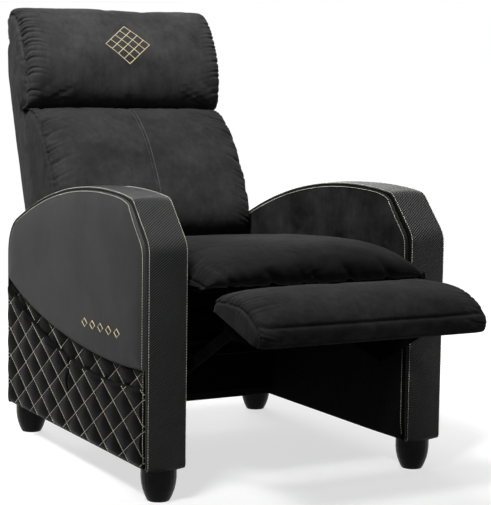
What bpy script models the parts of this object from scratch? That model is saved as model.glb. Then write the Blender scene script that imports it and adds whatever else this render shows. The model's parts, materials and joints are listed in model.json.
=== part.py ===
"""A push-back gaming recliner: two slab arms, a gliding seat, a reclining back and a folding footrest.

Metres, +Z up. The chair faces -Y and +X is the sitter's left. While it is built, y = 0 is the plane of
the arms' fronts and z = 0 the floor. The last step moves everything so that the origin is the centre of
the chair's footprint, on the floor.
"""

import math

import bmesh
import bpy
from mathutils import Vector

# Overall sizes of the arms and of the room between them
ARM_SPREAD = 0.680  # over both arms
ARM_THICKNESS = 0.082
ARM_DEPTH = 0.755
ARM_BOTTOM = 0.065  # floor to the arm's underside
KNEE_HEIGHT = 0.500  # where the arm's front starts to lean back
BROW_BACK = 0.077  # where the leaning front meets the top curve
ARM_TOP = 0.594
ARM_TOP_BACK = 0.235  # place of the highest point
SHOULDER_DROP = 0.081  # from the highest point down to where the shoulder starts
SHOULDER_RADIUS = 0.090
KNEE_RADIUS = 0.045
BROW_RADIUS = 0.032
HEM_RADIUS = 0.009
PANEL_HEM_RADIUS = 0.003
SHOULDER_RUN = 0.092
BROW_RUN = 0.022

# Layers of an arm
BAND_WIDTH = 0.012  # how far the edge band reaches in from the outline
SIDE_PAD = 0.010
INNER_PAD = 0.010
QUILT_THICKNESS = 0.0025
POCKET_THICKNESS = 0.0087
POCKET_WALL = 0.0038
POCKET_SEAM = 0.007
POCKET_DIVIDER_BACK = 0.391
BAND_ROUND = 0.0045
PAD_ROUND = 0.0035
QUILT_LOW = 0.2525  # lowest point of the quilted panel's top line
QUILT_LOW_BACK = 0.150
QUILT_RISE = 0.095  # how far that line climbs by the arm's rear
MOUTH_DROP = 0.0385  # from that lowest point down to the pocket's mouth
MOUTH_LOW_BACK = 0.200
MOUTH_RISE = 0.117
POCKET_MARGIN = 0.004
CURVE_STEPS = 14
FILLET_STEPS = 6

# Feet
FOOT_RADIUS = 0.0353
FOOT_SOLE_RADIUS = 0.0215
FOOT_SETBACK = 0.0385  # from the arm's front or rear to the foot's axis
STUD_RADIUS = 0.004
STUD_LENGTH = 0.030
FOOT_STEPS = 24
FOOT_RIM_SHARE = 0.72
FOOT_TAPER_SHARES = ((0.92, 0.54), (0.74, 0.36), (0.42, 0.17), (0.18, 0.06))
MERGE = 0.00001

# Cross members of the base
LOWER_RAIL_BACK = 0.590
LOWER_RAIL_DEPTH = 0.030
LOWER_RAIL_HEIGHT = 0.040
SPREADER_RADIUS = 0.0095
FRONT_SPREADER = (0.310, 0.232)
REAR_SPREADER = (0.520, 0.286)
DUST_CLOTH = 0.002
DUST_CLOTH_HEM = 0.022  # how far the cloth runs down the lower rail

# Steel plates and their layers, from the arm inwards
PLATE = 0.004
SIDE_PLAY = 0.0015  # between neighbouring plates
PIN_RADIUS = 0.005
PIN_PLAY = 0.0001
PIN_HEAD = 0.0015
LINK_WIDTH = 0.022
BASE_RAIL_FRONT = 0.120
BASE_RAIL_REAR = 0.700
BASE_RAIL_HEIGHT = 0.044
GUIDE_DROP = 0.0533  # from the seat plates' top down to the guides
GUIDE_FRONT = 0.225
GUIDE_REAR = 0.565
GLIDE_FORWARD = 0.0605
GLIDE_REARWARD = 0.0125

# Seat
SEAT_FRONT = -0.064
SEAT_REAR = 0.632
SEAT_SIDE_PLAY = 0.0065
SEAT_TOP = 0.502  # the crown's highest point
SEAT_CROWN_BACK = 0.070
SEAT_REAR_DROP = 0.054  # from the crown down to the rear edge
SEAT_NOSE_DROP = 0.044
SEAT_SIDE_SHARE = 0.34  # of its height, lost along its sides
SEAT_BASE = 0.4188
BOARD_THICKNESS = 0.010
FRONT_BOARD_NOSE = -0.030
FRONT_BOARD_REAR = 0.112
FRONT_RAIL_FRONT = 0.095
SEAT_RAIL_DEPTH = 0.038
SEAT_RAIL_HEIGHT = 0.044
REAR_RAIL_FRONT = 0.585
SEAT_PLATE_FRONT = 0.100
SEAT_PLATE_BEHIND_PIVOT = 0.040
SEAT_PLATE_BELOW_PIVOT = 0.030
SPRING_WIRE = 0.002
SPRING_SWING = 0.022
SPRING_BENDS = 11
SPRING_POINTS_PER_BEND = 5
SEAT_SPRING_COUNT = 4
SEAT_SPRING_PITCH_SHARE = 0.23  # of the seat's width

# Back, measured from its pivot: "up" runs along the back and "behind" is square to it
BACK_PIVOT = (0.660, 0.330)
BACK_TILT = 20.0  # degrees from upright, as photographed
BACK_SIDE_PLAY = 0.0035
BACK_REAR_FACE = 0.144
BACK_SHELL_DEPTH = 0.064
BACK_FOOT = -0.010
BACK_SHELL_TOP = 0.655
COVER_WALL = 0.005
STILE_WIDTH = 0.045
RAIL_HEIGHT = 0.060
BACK_SPRING_PITCH_SHARE = 0.32  # of the back's width
BACK_SPRING_COUNT = 2
BACK_SPRING_BENDS = 9
LUMBAR_BOTTOM = 0.105
LUMBAR_TOP = 0.462
LUMBAR_BULGE = 0.066  # how far the crown comes forward of the pivot
LUMBAR_SIDE_DEPTH = 0.078  # of the side gusset at its foot
LUMBAR_SIDE_SWELL = 0.036
LUMBAR_DART = 0.006
LUMBAR_DART_SHARE = 0.05  # of the half width
LUMBAR_DART_FADE_SHARE = 0.6
LUMBAR_CROWN_SHARE = 0.85
LUMBAR_SWELL_SHARE = 0.575  # of a half wave, reached in the middle
CUSHION_PLAY = 0.003
CORNER_DRAW = 0.004  # how far a cushion's corners pull in
HEADREST_TOP = 0.725
HEADREST_FRONT = -0.022
HEADREST_CREST_SHARE = 0.48
HEADREST_ROLL_SHARE = 0.52
HEADREST_SIDE_SHARE = 0.12
HEADREST_OVERHANG = 0.001
HEADREST_SEAM = 0.042
HEADREST_ROWS = 10
HEADREST_CLEARANCE = 0.003
HEADREST_STEP = 0.009
BRACKET_WIDTH = 0.036

# Footrest, unfolded as photographed
FOOTREST_TILT = 16.0  # degrees, front edge lower
FOOTREST_LENGTH = 0.178
FOOTREST_REAR = (-0.085, 0.386)  # underside's rear edge
FOOTREST_SIDE_PLAY = 0.0045
FOOTREST_CROWN = 0.068  # underside to crown
FOOTREST_REAR_SHARE = 0.34  # of the crown, at the rear edge
FOOTREST_FRONT_SHARE = 0.46
FOOTREST_PIVOT_ALONG = 0.060
FOOTREST_PIVOT_BELOW = 0.020
LIFT_PIVOT = (0.200, 0.310)
LIFT_LENGTH = 0.170
REACH_LENGTH = 0.200
REACH_TAIL = 0.040
STEADY_PIVOT = (0.2414, 0.2672)
TORQUE_TUBE_ALONG = 0.060
TORQUE_TUBE_RADIUS = 0.008
END_BRACKET_START = 0.038
END_BRACKET_LENGTH = 0.110

SEAT_GAP = 0.0003  # between surfaces that touch
CUT_OVERRUN = 0.010
ROUND_STEPS = 20
STRAIGHTEST_SHARE = 0.999  # of two links' length, the furthest they reach

INNER_FACE = ARM_SPREAD / 2 - ARM_THICKNESS
OUTER_FACE = ARM_SPREAD / 2
TOP_RUN = ARM_DEPTH - SHOULDER_RUN - ARM_TOP_BACK
TOP_RADIUS = (TOP_RUN**2 + SHOULDER_DROP**2) / (2 * SHOULDER_DROP)
SEAT_HALF_WIDTH = INNER_FACE - SEAT_SIDE_PLAY
FOOTREST_HALF_WIDTH = INNER_FACE - FOOTREST_SIDE_PLAY
CUSHION_PLANE = BACK_REAR_FACE - BACK_SHELL_DEPTH - SEAT_GAP
BASE_RAIL_X = INNER_FACE - SEAT_GAP - PLATE / 2
SEAT_PLATE_X = BASE_RAIL_X - PLATE - SIDE_PLAY * 2
LIFT_X = SEAT_PLATE_X - PLATE - SIDE_PLAY
REACH_X = LIFT_X - PLATE - SIDE_PLAY
SEAT_BOARD_LOW = SEAT_BASE - SEAT_GAP - BOARD_THICKNESS
SEAT_RAIL_TOP = SEAT_BOARD_LOW - SEAT_GAP
GUIDE_HEIGHT = SEAT_RAIL_TOP - GUIDE_DROP
BASE_RAIL_LOW = GUIDE_HEIGHT - BASE_RAIL_HEIGHT / 2
BASE_RAIL_HIGH = GUIDE_HEIGHT + BASE_RAIL_HEIGHT / 2
SEAT_PLATE_REAR = BACK_PIVOT[0] + SEAT_PLATE_BEHIND_PIVOT
SEAT_PLATE_LOW = BACK_PIVOT[1] - SEAT_PLATE_BELOW_PIVOT
BACK_HALF_WIDTH = INNER_FACE - BACK_SIDE_PLAY

MATERIALS = {
    "side_leather": ((0.055, 0.055, 0.058), 0.45, 0.0),
    "quilted_leather": ((0.022, 0.022, 0.021), 0.42, 0.0),
    "ribbed_leather": ((0.045, 0.045, 0.047), 0.40, 0.0),
    "black_velvet": ((0.012, 0.012, 0.013), 0.90, 0.0),
    "foot_plastic": ((0.008, 0.008, 0.009), 0.35, 0.0),
    "frame_wood": ((0.420, 0.290, 0.160), 0.70, 0.0),
    "black_steel": ((0.020, 0.020, 0.022), 0.40, 1.0),
    "spring_steel": ((0.350, 0.350, 0.370), 0.35, 1.0),
}


def clear_scene():
    for obj in list(bpy.data.objects):
        bpy.data.objects.remove(obj)


def make_collection(name):
    collection = bpy.data.collections.new(name)
    bpy.context.scene.collection.children.link(collection)
    return collection


def make_materials():
    """One Principled material for each finish."""
    made = {}
    for name, (colour, roughness, metallic) in MATERIALS.items():
        material = bpy.data.materials.new(name)
        material.use_nodes = True
        shader = material.node_tree.nodes["Principled BSDF"]
        shader.inputs["Base Color"].default_value = (*colour, 1.0)
        shader.inputs["Roughness"].default_value = roughness
        shader.inputs["Metallic"].default_value = metallic
        made[name] = material
    return made


clear_scene()
PARTS = make_collection("gaming_recliner")
CUTTERS = make_collection("cutters")
FINISH = make_materials()


def add_empty(name, parent=None, place=(0.0, 0.0), turn=0.0):
    """A body's frame: its origin is on the joint's axis, and turn is its angle in the side view."""
    empty = bpy.data.objects.new(name, None)
    PARTS.objects.link(empty)
    empty.parent = parent
    empty.location = (0.0, place[0], place[1])
    empty.rotation_euler = (turn, 0.0, 0.0)
    return empty


def finish(obj, parent, material):
    obj.parent = parent
    obj.data.materials.clear()
    obj.data.materials.append(FINISH[material])
    return obj


def mesh_object(name, bm, parent, material, smooth=True):
    mesh = bpy.data.meshes.new(name)
    bm.to_mesh(mesh)
    bm.free()
    if smooth:
        mesh.shade_smooth()
        mesh.set_sharp_from_angle(angle=math.radians(35))
    obj = bpy.data.objects.new(name, mesh)
    PARTS.objects.link(obj)
    return finish(obj, parent, material)


def add_bevel(obj, width, segments=2, angle=35):
    bevel = obj.modifiers.new("rounded_edges", "BEVEL")
    bevel.width = width
    bevel.segments = segments
    bevel.limit_method = "ANGLE"
    bevel.angle_limit = math.radians(angle)


def box_mesh(corner, opposite):
    """A box between two opposite corners, as a bmesh."""
    low = Vector([min(pair) for pair in zip(corner, opposite)])
    high = Vector([max(pair) for pair in zip(corner, opposite)])
    bm = bmesh.new()
    bmesh.ops.create_cube(bm, size=1.0)
    bmesh.ops.scale(bm, vec=high - low, verts=bm.verts)
    bmesh.ops.translate(bm, vec=(low + high) / 2, verts=bm.verts)
    return bm


def add_box(name, parent, material, low, high, bevel=0.0):
    obj = mesh_object(name, box_mesh(low, high), parent, material)
    if bevel:
        add_bevel(obj, bevel)
    return obj


def rod_mesh(radius, low_x, high_x, place, steps=ROUND_STEPS):
    """A closed cylinder along X, at a place in the side view, as a bmesh."""
    bm = bmesh.new()
    bmesh.ops.create_cone(
        bm, cap_ends=True, segments=steps, radius1=radius, radius2=radius, depth=high_x - low_x
    )
    for vertex in bm.verts:
        x, y, z = vertex.co
        vertex.co = (z + (low_x + high_x) / 2, x + place[0], y + place[1])
    return bm


def add_rod(name, parent, material, radius, low_x, high_x, place):
    return mesh_object(name, rod_mesh(radius, low_x, high_x, place), parent, material)


def circle(centre, radius, steps=ROUND_STEPS):
    """Points of a circle in the side view."""
    return [
        (
            centre[0] + radius * math.cos(2 * math.pi * i / steps),
            centre[1] + radius * math.sin(2 * math.pi * i / steps),
        )
        for i in range(steps)
    ]


def slot(centre, radius, forward, rearward, steps=ROUND_STEPS):
    """A long hole in the side view that lets a pin travel forward and rearward."""
    points = []
    for i in range(steps + 1):
        turn = math.pi / 2 + math.pi * i / steps
        points.append(
            (centre[0] - forward + radius * math.cos(turn), centre[1] + radius * math.sin(turn))
        )
    for i in range(steps + 1):
        turn = -math.pi / 2 + math.pi * i / steps
        points.append(
            (centre[0] + rearward + radius * math.cos(turn), centre[1] + radius * math.sin(turn))
        )
    return points


def rounded(corners, steps=FILLET_STEPS):
    """A polygon whose corners (along, up, radius) are filleted where the radius isn't zero."""
    points = []
    count = len(corners)
    for i, (y, z, radius) in enumerate(corners):
        here = Vector((y, z))
        if radius <= 0:
            points.append((y, z))
            continue
        before = (Vector(corners[i - 1][:2]) - here).normalized()
        after = (Vector(corners[(i + 1) % count][:2]) - here).normalized()
        half = before.angle(after) / 2
        centre = here + (before + after).normalized() * (radius / math.sin(half))
        start = here + before * (radius / math.tan(half)) - centre
        sweep = math.pi - 2 * half
        side = 1 if before.x * after.y - before.y * after.x < 0 else -1
        for k in range(steps + 1):
            turn = side * sweep * k / steps
            cos, sin = math.cos(turn), math.sin(turn)
            points.append(
                (
                    centre.x + start.x * cos - start.y * sin,
                    centre.y + start.x * sin + start.y * cos,
                )
            )
    return points


def inset(points, distance):
    """The outline moved inwards by a distance, for a convex outline."""
    moved = []
    count = len(points)
    area = sum(
        points[i][0] * points[(i + 1) % count][1] - points[(i + 1) % count][0] * points[i][1]
        for i in range(count)
    )
    side = 1 if area > 0 else -1
    for i in range(count):
        here = Vector(points[i])
        before = (here - Vector(points[i - 1])).normalized()
        after = (Vector(points[(i + 1) % count]) - here).normalized()
        first = Vector((-before.y, before.x)) * side
        second = Vector((-after.y, after.x)) * side
        mitre = first + second
        moved.append(tuple(here + mitre * (distance * 2 / mitre.length_squared)))
    return moved


def flat_curve(name, outlines, thickness):
    """A 2D curve of closed outlines, those inside others being holes, extruded to a thickness."""
    data = bpy.data.curves.new(name, "CURVE")
    data.dimensions = "2D"
    data.fill_mode = "BOTH"
    data.extrude = thickness / 2
    for outline in outlines:
        spline = data.splines.new("POLY")
        spline.points.add(len(outline) - 1)
        for point, (y, z) in zip(spline.points, outline):
            point.co = (y, z, 0.0, 1.0)
        spline.use_cyclic_u = True
    return bpy.data.objects.new(name, data)


def add_plate(name, parent, material, outlines, x, thickness, round_edge=0.0, segments=1):
    """A flat piece whose outline is drawn in the side view, centred at x."""
    obj = flat_curve(name, outlines, thickness)
    PARTS.objects.link(obj)
    obj.location = (x, 0.0, 0.0)
    obj.rotation_euler = (math.pi / 2, 0.0, math.pi / 2)
    if round_edge:
        weld = obj.modifiers.new("joined_caps", "WELD")
        weld.merge_threshold = 0.00001
        add_bevel(obj, round_edge, segments, 50)
    return finish(obj, parent, material)


def as_mesh(obj):
    """The same piece as a mesh object, so that a Boolean can cut or join it."""
    bpy.context.view_layer.update()
    graph = bpy.context.evaluated_depsgraph_get()
    mesh = bpy.data.meshes.new_from_object(obj.evaluated_get(graph))
    bm = bmesh.new()
    bm.from_mesh(mesh)
    bmesh.ops.remove_doubles(bm, verts=bm.verts, dist=0.00001)
    bm.normal_update()
    bmesh.ops.recalc_face_normals(bm, faces=bm.faces)
    bm.to_mesh(mesh)
    bm.free()
    name, parent, place = obj.name, obj.parent, obj.matrix_basis.copy()
    bpy.data.objects.remove(obj)
    solid = bpy.data.objects.new(name, mesh)
    PARTS.objects.link(solid)
    solid.parent = parent
    solid.matrix_basis = place
    return solid


def combine(obj, bm, operation, name):
    """Joins a helper solid to a piece, or cuts it away. The helper is drawn in the same body's frame."""
    helper_mesh = bpy.data.meshes.new(name)
    bm.to_mesh(helper_mesh)
    bm.free()
    helper = bpy.data.objects.new(name, helper_mesh)
    CUTTERS.objects.link(helper)
    helper.parent = obj.parent
    helper.hide_render = True
    helper.display_type = "WIRE"
    boolean = obj.modifiers.new(name, "BOOLEAN")
    boolean.operation = operation
    boolean.object = helper
    return obj


def two_link(base, tip, first, second):
    """Angles of two links from a base pivot to a tip, with the elbow below the line between them."""
    span = Vector(tip) - Vector(base)
    reach = min(span.length, (first + second) * STRAIGHTEST_SHARE)
    line = math.atan2(span.y, span.x) % (2 * math.pi)
    cosine = (first * first + reach * reach - second * second) / (2 * first * reach)
    first_angle = line + math.acos(max(-1.0, min(1.0, cosine)))
    elbow = Vector(base) + first * Vector((math.cos(first_angle), math.sin(first_angle)))
    rest = Vector(tip) - elbow
    second_angle = math.atan2(rest.y, rest.x) % (2 * math.pi)
    return first_angle, second_angle, tuple(elbow)


def arm_outline(drop=0.0, hem=HEM_RADIUS):
    """The arm's outline in the side view. drop lowers its underside, whose corners are rounded by hem."""

    def top_curve(y):
        return ARM_TOP - TOP_RADIUS + math.sqrt(TOP_RADIUS**2 - (y - ARM_TOP_BACK) ** 2)

    bottom = ARM_BOTTOM - drop
    last = ARM_DEPTH - SHOULDER_RUN
    slope = -(last - ARM_TOP_BACK) / math.sqrt(TOP_RADIUS**2 - (last - ARM_TOP_BACK) ** 2)
    corners = [
        (0.0, bottom, hem),
        (ARM_DEPTH, bottom, hem),
        (ARM_DEPTH, top_curve(last) + slope * SHOULDER_RUN, SHOULDER_RADIUS),
    ]
    first = BROW_BACK + BROW_RUN
    for i in range(CURVE_STEPS + 1):
        y = last + (first - last) * i / CURVE_STEPS
        corners.append((y, top_curve(y), 0.0))
    corners.append((BROW_BACK, top_curve(BROW_BACK), BROW_RADIUS))
    corners.append((0.0, KNEE_HEIGHT, KNEE_RADIUS))
    return rounded(corners)


def panel_outline(margin):
    """The outline of what lies inside the edge band, down to the arm's underside."""
    return inset(arm_outline(drop=margin, hem=margin + PANEL_HEM_RADIUS), margin)


def quilt_line(y):
    """Height of the quilted panel's top line."""
    return QUILT_LOW + QUILT_RISE * ((y - QUILT_LOW_BACK) / (ARM_DEPTH - QUILT_LOW_BACK)) ** 2


def mouth_line(y):
    """Height of the pocket's mouth."""
    climb = ((y - MOUTH_LOW_BACK) / (ARM_DEPTH - MOUTH_LOW_BACK)) ** 2
    return QUILT_LOW - MOUTH_DROP + MOUTH_RISE * climb


def curve_points(points, line, gap):
    """A curved line from the front of an outline to its rear, raised by a gap."""
    front = min(p[0] for p in points)
    rear = max(p[0] for p in points)
    steps = range(CURVE_STEPS + 1)
    places = [front + (rear - front) * i / CURVE_STEPS for i in steps]
    return [(y, line(y) + gap) for y in places]


def below(points, line, gap):
    """The part of an arm's outline that lies under a curved line, less a gap."""
    hem = 2 * (FILLET_STEPS + 1)
    return points[:hem] + curve_points(points, line, -gap)[::-1]


def above(points, line, gap):
    """The part of an arm's outline that lies over a curved line, plus a gap."""
    hem = 2 * (FILLET_STEPS + 1)
    return points[hem:] + curve_points(points, line, gap)


def band_outline(outer, inner):
    """The strip between two outlines, open along the underside."""
    corner = FILLET_STEPS + 1
    rear = max(p[0] for p in inner)
    front = min(p[0] for p in inner)
    inside = [(rear, ARM_BOTTOM), *inner[2 * corner - 1 :], inner[0], (front, ARM_BOTTOM)]
    return outer[corner:] + outer[:corner] + inside[::-1]


def build_arm(base, side, name):
    """One arm: a wooden core, an edge band, an inner panel, and the outer panels with their pocket."""
    panel = panel_outline(BAND_WIDTH + SEAT_GAP)
    core = panel_outline(BAND_WIDTH + SEAT_GAP)
    core_low = INNER_FACE + INNER_PAD + SEAT_GAP
    core_high = OUTER_FACE - SIDE_PAD - SEAT_GAP
    piece = as_mesh(
        add_plate(
            f"{name}_arm_core",
            base,
            "frame_wood",
            [core],
            side * (core_low + core_high) / 2,
            core_high - core_low,
        )
    )
    finish(piece, base, "frame_wood")
    middle_x = side * (INNER_FACE + OUTER_FACE) / 2
    for label, y in (("front", FOOT_SETBACK), ("rear", ARM_DEPTH - FOOT_SETBACK)):
        hole = bmesh.new()
        bmesh.ops.create_cone(
            hole,
            cap_ends=True,
            segments=ROUND_STEPS,
            radius1=STUD_RADIUS + PIN_PLAY,
            radius2=STUD_RADIUS + PIN_PLAY,
            depth=(STUD_LENGTH + PIN_PLAY) * 2,
        )
        bmesh.ops.translate(hole, vec=(middle_x, y, ARM_BOTTOM), verts=hole.verts)
        combine(piece, hole, "DIFFERENCE", f"{name}_{label}_stud_hole")

    outer = arm_outline()
    inner = panel_outline(BAND_WIDTH)
    band = band_outline(outer, inner)
    add_plate(
        f"{name}_edge_band",
        base,
        "ribbed_leather",
        [band],
        middle_x,
        ARM_THICKNESS,
        BAND_ROUND,
        2,
    )
    add_plate(
        f"{name}_inner_panel",
        base,
        "black_velvet",
        [panel],
        side * (INNER_FACE + INNER_PAD / 2),
        INNER_PAD,
        PAD_ROUND,
    )
    add_plate(
        f"{name}_side_panel",
        base,
        "side_leather",
        [above(panel, quilt_line, SEAT_GAP)],
        side * (OUTER_FACE - SIDE_PAD / 2),
        SIDE_PAD,
        PAD_ROUND,
    )
    quilt_x = OUTER_FACE - SIDE_PAD + QUILT_THICKNESS / 2
    add_plate(
        f"{name}_quilted_panel",
        base,
        "quilted_leather",
        [below(panel, quilt_line, SEAT_GAP)],
        side * quilt_x,
        QUILT_THICKNESS,
    )
    build_pocket(base, side, name, quilt_x + QUILT_THICKNESS / 2 + SEAT_GAP)


def build_pocket(base, side, name, back_x):
    """A flat pouch sewn on at its sides, its hem and one seam between, with two open mouths."""
    outline = panel_outline(BAND_WIDTH + POCKET_MARGIN)
    front = min(p[0] for p in outline)
    rear = max(p[0] for p in outline)
    low = min(p[1] for p in outline)
    pouch = as_mesh(
        add_plate(
            f"{name}_pocket",
            base,
            "quilted_leather",
            [below(outline, mouth_line, SEAT_GAP)],
            side * (back_x + POCKET_THICKNESS / 2),
            POCKET_THICKNESS,
            POCKET_WALL / 2,
        )
    )
    finish(pouch, base, "quilted_leather")
    wall_x = back_x + POCKET_THICKNESS - POCKET_WALL
    rooms = (
        ("front", front + POCKET_SEAM, POCKET_DIVIDER_BACK - POCKET_SEAM / 2),
        ("rear", POCKET_DIVIDER_BACK + POCKET_SEAM / 2, rear - POCKET_SEAM),
    )
    for label, start, end in rooms:
        room = box_mesh(
            (side * (back_x - CUT_OVERRUN), start, low + POCKET_SEAM),
            (side * wall_x, end, max(mouth_line(start), mouth_line(end)) + CUT_OVERRUN),
        )
        combine(pouch, room, "DIFFERENCE", f"{name}_{label}_pocket_room")


def build_foot(base, name, x, y):
    """A tapered foot, turned about its stud."""
    height = ARM_BOTTOM - SEAT_GAP
    waist = FOOT_RADIUS - FOOT_SOLE_RADIUS
    profile = [
        (0.0, height + STUD_LENGTH),
        (STUD_RADIUS, height + STUD_LENGTH),
        (STUD_RADIUS, height),
        (FOOT_RADIUS, height),
        (FOOT_RADIUS, height * FOOT_RIM_SHARE),
        *[(FOOT_SOLE_RADIUS + waist * out, height * up) for out, up in FOOT_TAPER_SHARES],
        (FOOT_SOLE_RADIUS, 0.0),
        (0.0, 0.0),
    ]
    mesh = bpy.data.meshes.new(name)
    mesh.from_pydata(
        [(r, 0.0, z) for r, z in profile], [(i, i + 1) for i in range(len(profile) - 1)], []
    )
    obj = bpy.data.objects.new(name, mesh)
    PARTS.objects.link(obj)
    obj.location = (x, y, 0.0)
    screw = obj.modifiers.new("turned", "SCREW")
    screw.steps = FOOT_STEPS
    screw.render_steps = FOOT_STEPS
    screw.use_merge_vertices = True
    screw.merge_threshold = MERGE
    return finish(obj, base, "foot_plastic")


def build_base(base):
    """Both arms, the feet and what ties the arms together."""
    for side, name in ((-1, "right"), (1, "left")):
        build_arm(base, side, name)
        middle_x = side * (INNER_FACE + OUTER_FACE) / 2
        build_foot(base, f"front_{name}_foot", middle_x, FOOT_SETBACK)
        build_foot(base, f"rear_{name}_foot", middle_x, ARM_DEPTH - FOOT_SETBACK)
        rail = rounded(
            [
                (BASE_RAIL_FRONT, BASE_RAIL_LOW, PLATE),
                (BASE_RAIL_REAR, BASE_RAIL_LOW, PLATE),
                (BASE_RAIL_REAR, BASE_RAIL_HIGH, PLATE),
                (BASE_RAIL_FRONT, BASE_RAIL_HIGH, PLATE),
            ],
            3,
        )
        slots = [
            slot((y, GUIDE_HEIGHT), PIN_RADIUS + PIN_PLAY, GLIDE_FORWARD, GLIDE_REARWARD, 8)
            for y in (GUIDE_FRONT, GUIDE_REAR)
        ]
        add_plate(
            f"{name}_base_rail",
            base,
            "black_steel",
            [rail, *slots],
            side * BASE_RAIL_X,
            PLATE,
        )
    reach = INNER_FACE - SEAT_GAP
    add_box(
        "rear_lower_rail",
        base,
        "black_velvet",
        (-reach, LOWER_RAIL_BACK - LOWER_RAIL_DEPTH / 2, ARM_BOTTOM),
        (reach, LOWER_RAIL_BACK + LOWER_RAIL_DEPTH / 2, ARM_BOTTOM + LOWER_RAIL_HEIGHT),
        PLATE,
    )
    for label, place in (("front", FRONT_SPREADER), ("rear", REAR_SPREADER)):
        add_rod(
            f"{label}_spreader_tube", base, "black_steel", SPREADER_RADIUS, -reach, reach, place
        )
    add_dust_cloth(base, reach)


def add_dust_cloth(base, reach):
    """The black cloth that closes the rear under the seat, from the rear tube down to the lower rail."""
    tube = Vector(REAR_SPREADER)
    edge = Vector((LOWER_RAIL_BACK - LOWER_RAIL_DEPTH / 2, ARM_BOTTOM + LOWER_RAIL_HEIGHT))
    run = (edge - tube).normalized()
    out = Vector((run.y, -run.x))
    touch = tube + out * (SPREADER_RADIUS + SEAT_GAP)
    end = touch - run * SPREADER_RADIUS
    knee = edge - Vector((SEAT_GAP, 0))
    hem = knee - Vector((0, DUST_CLOTH_HEM))
    outer_knee = knee - Vector((DUST_CLOTH, 0))
    outer_hem = hem - Vector((DUST_CLOTH, 0))
    outline = [end, touch, knee, hem, outer_hem, outer_knee, touch + out * DUST_CLOTH, end + out * DUST_CLOTH]
    add_plate(
        "rear_dust_cloth", base, "black_velvet", [[tuple(p) for p in outline]], 0.0, 2 * reach
    )


def add_spring(name, parent, centre_x, start, end, height, arch, bends, flat):
    """A sinuous spring between two rails. flat says whether it runs along Y (a seat) or Z (a back)."""
    data = bpy.data.curves.new(name, "CURVE")
    data.dimensions = "3D"
    data.bevel_depth = SPRING_WIRE
    data.bevel_resolution = 0
    data.use_fill_caps = True
    spline = data.splines.new("POLY")
    count = bends * SPRING_POINTS_PER_BEND
    spline.points.add(count)
    for i in range(count + 1):
        share = i / count
        wave = math.sin(math.pi * bends * share)
        x = centre_x + SPRING_SWING * math.copysign(abs(wave) ** 0.6, wave)
        along = start + (end - start) * share
        lift = height + arch * math.sin(math.pi * share)
        spline.points[i].co = (x, along, lift, 1.0) if flat else (x, lift, along, 1.0)
    obj = bpy.data.objects.new(name, data)
    PARTS.objects.link(obj)
    return finish(obj, parent, "spring_steel")


def padded_mesh(cells, shape):
    """A grid box of unit half sizes whose points a shape function places."""
    bm = bmesh.new()
    across, along, up = cells
    index = {}
    for i in range(across + 1):
        for j in range(along + 1):
            for k in range(up + 1):
                if i in (0, across) or j in (0, along) or k in (0, up):
                    unit = (2 * i / across - 1, 2 * j / along - 1, 2 * k / up - 1)
                    index[i, j, k] = bm.verts.new(shape(*unit))

    def face(*keys):
        bm.faces.new([index[key] for key in keys])

    for i in range(across):
        for j in range(along):
            face((i, j, 0), (i, j + 1, 0), (i + 1, j + 1, 0), (i + 1, j, 0))
            face((i, j, up), (i + 1, j, up), (i + 1, j + 1, up), (i, j + 1, up))
    for i in range(across):
        for k in range(up):
            face((i, 0, k), (i + 1, 0, k), (i + 1, 0, k + 1), (i, 0, k + 1))
            face((i, along, k), (i, along, k + 1), (i + 1, along, k + 1), (i + 1, along, k))
    for j in range(along):
        for k in range(up):
            face((0, j, k), (0, j, k + 1), (0, j + 1, k + 1), (0, j + 1, k))
            face((across, j, k), (across, j + 1, k), (across, j + 1, k + 1), (across, j, k + 1))
    return bm


def add_cushion(name, parent, cells, shape):
    """A soft form: a coarse cage with one level of Subdivision Surface."""
    obj = mesh_object(name, padded_mesh(cells, shape), parent, "black_velvet")
    smooth = obj.modifiers.new("softened", "SUBSURF")
    smooth.levels = 1
    smooth.render_levels = 1
    return obj


def crown(a, b, power=4):
    """1 in the middle of a panel and 0 along its edges."""
    return (1 - abs(a) ** power) * (1 - abs(b) ** power)


def ease(value, low, high):
    """0 below low, 1 above high and smooth between them."""
    t = max(0.0, min(1.0, (value - low) / (high - low)))
    return t * t * (3 - 2 * t)


def seat_shape(a, b, c):
    """The seat cushion: a wedge that is highest near its front, with rolled sides and nose."""
    length = SEAT_REAR - SEAT_FRONT
    place = SEAT_FRONT + (b + 1) / 2 * length
    if place > SEAT_CROWN_BACK:
        drop = SEAT_REAR_DROP * (place - SEAT_CROWN_BACK) / (SEAT_REAR - SEAT_CROWN_BACK)
    else:
        drop = SEAT_NOSE_DROP * ((SEAT_CROWN_BACK - place) / (SEAT_CROWN_BACK - SEAT_FRONT)) ** 2
    height = (SEAT_TOP - drop - SEAT_BASE) * (1 - SEAT_SIDE_SHARE * abs(a) ** 4)
    x = a * (SEAT_HALF_WIDTH - CORNER_DRAW * abs(b) ** 6)
    y = place - b * CORNER_DRAW * abs(a) ** 6
    return (x, y, SEAT_BASE + (c + 1) / 2 * height)


def footrest_shape(a, b, c):
    """The footrest's pad, in the board's frame: thin at its rear edge and crowned."""
    along = (b + 1) / 2 * FOOTREST_LENGTH - FOOTREST_PIVOT_ALONG
    share = FOOTREST_REAR_SHARE + (FOOTREST_FRONT_SHARE - FOOTREST_REAR_SHARE) * (b + 1) / 2
    edge = FOOTREST_CROWN * share
    height = edge + (FOOTREST_CROWN - edge) * crown(a, b, 3) ** 0.8
    low = BOARD_THICKNESS + SEAT_GAP
    x = a * (FOOTREST_HALF_WIDTH - CORNER_DRAW * abs(b) ** 6 * (c + 1) / 2)
    return (x, along, -FOOTREST_PIVOT_BELOW - height + (1 + c) / 2 * (height - low))


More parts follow.
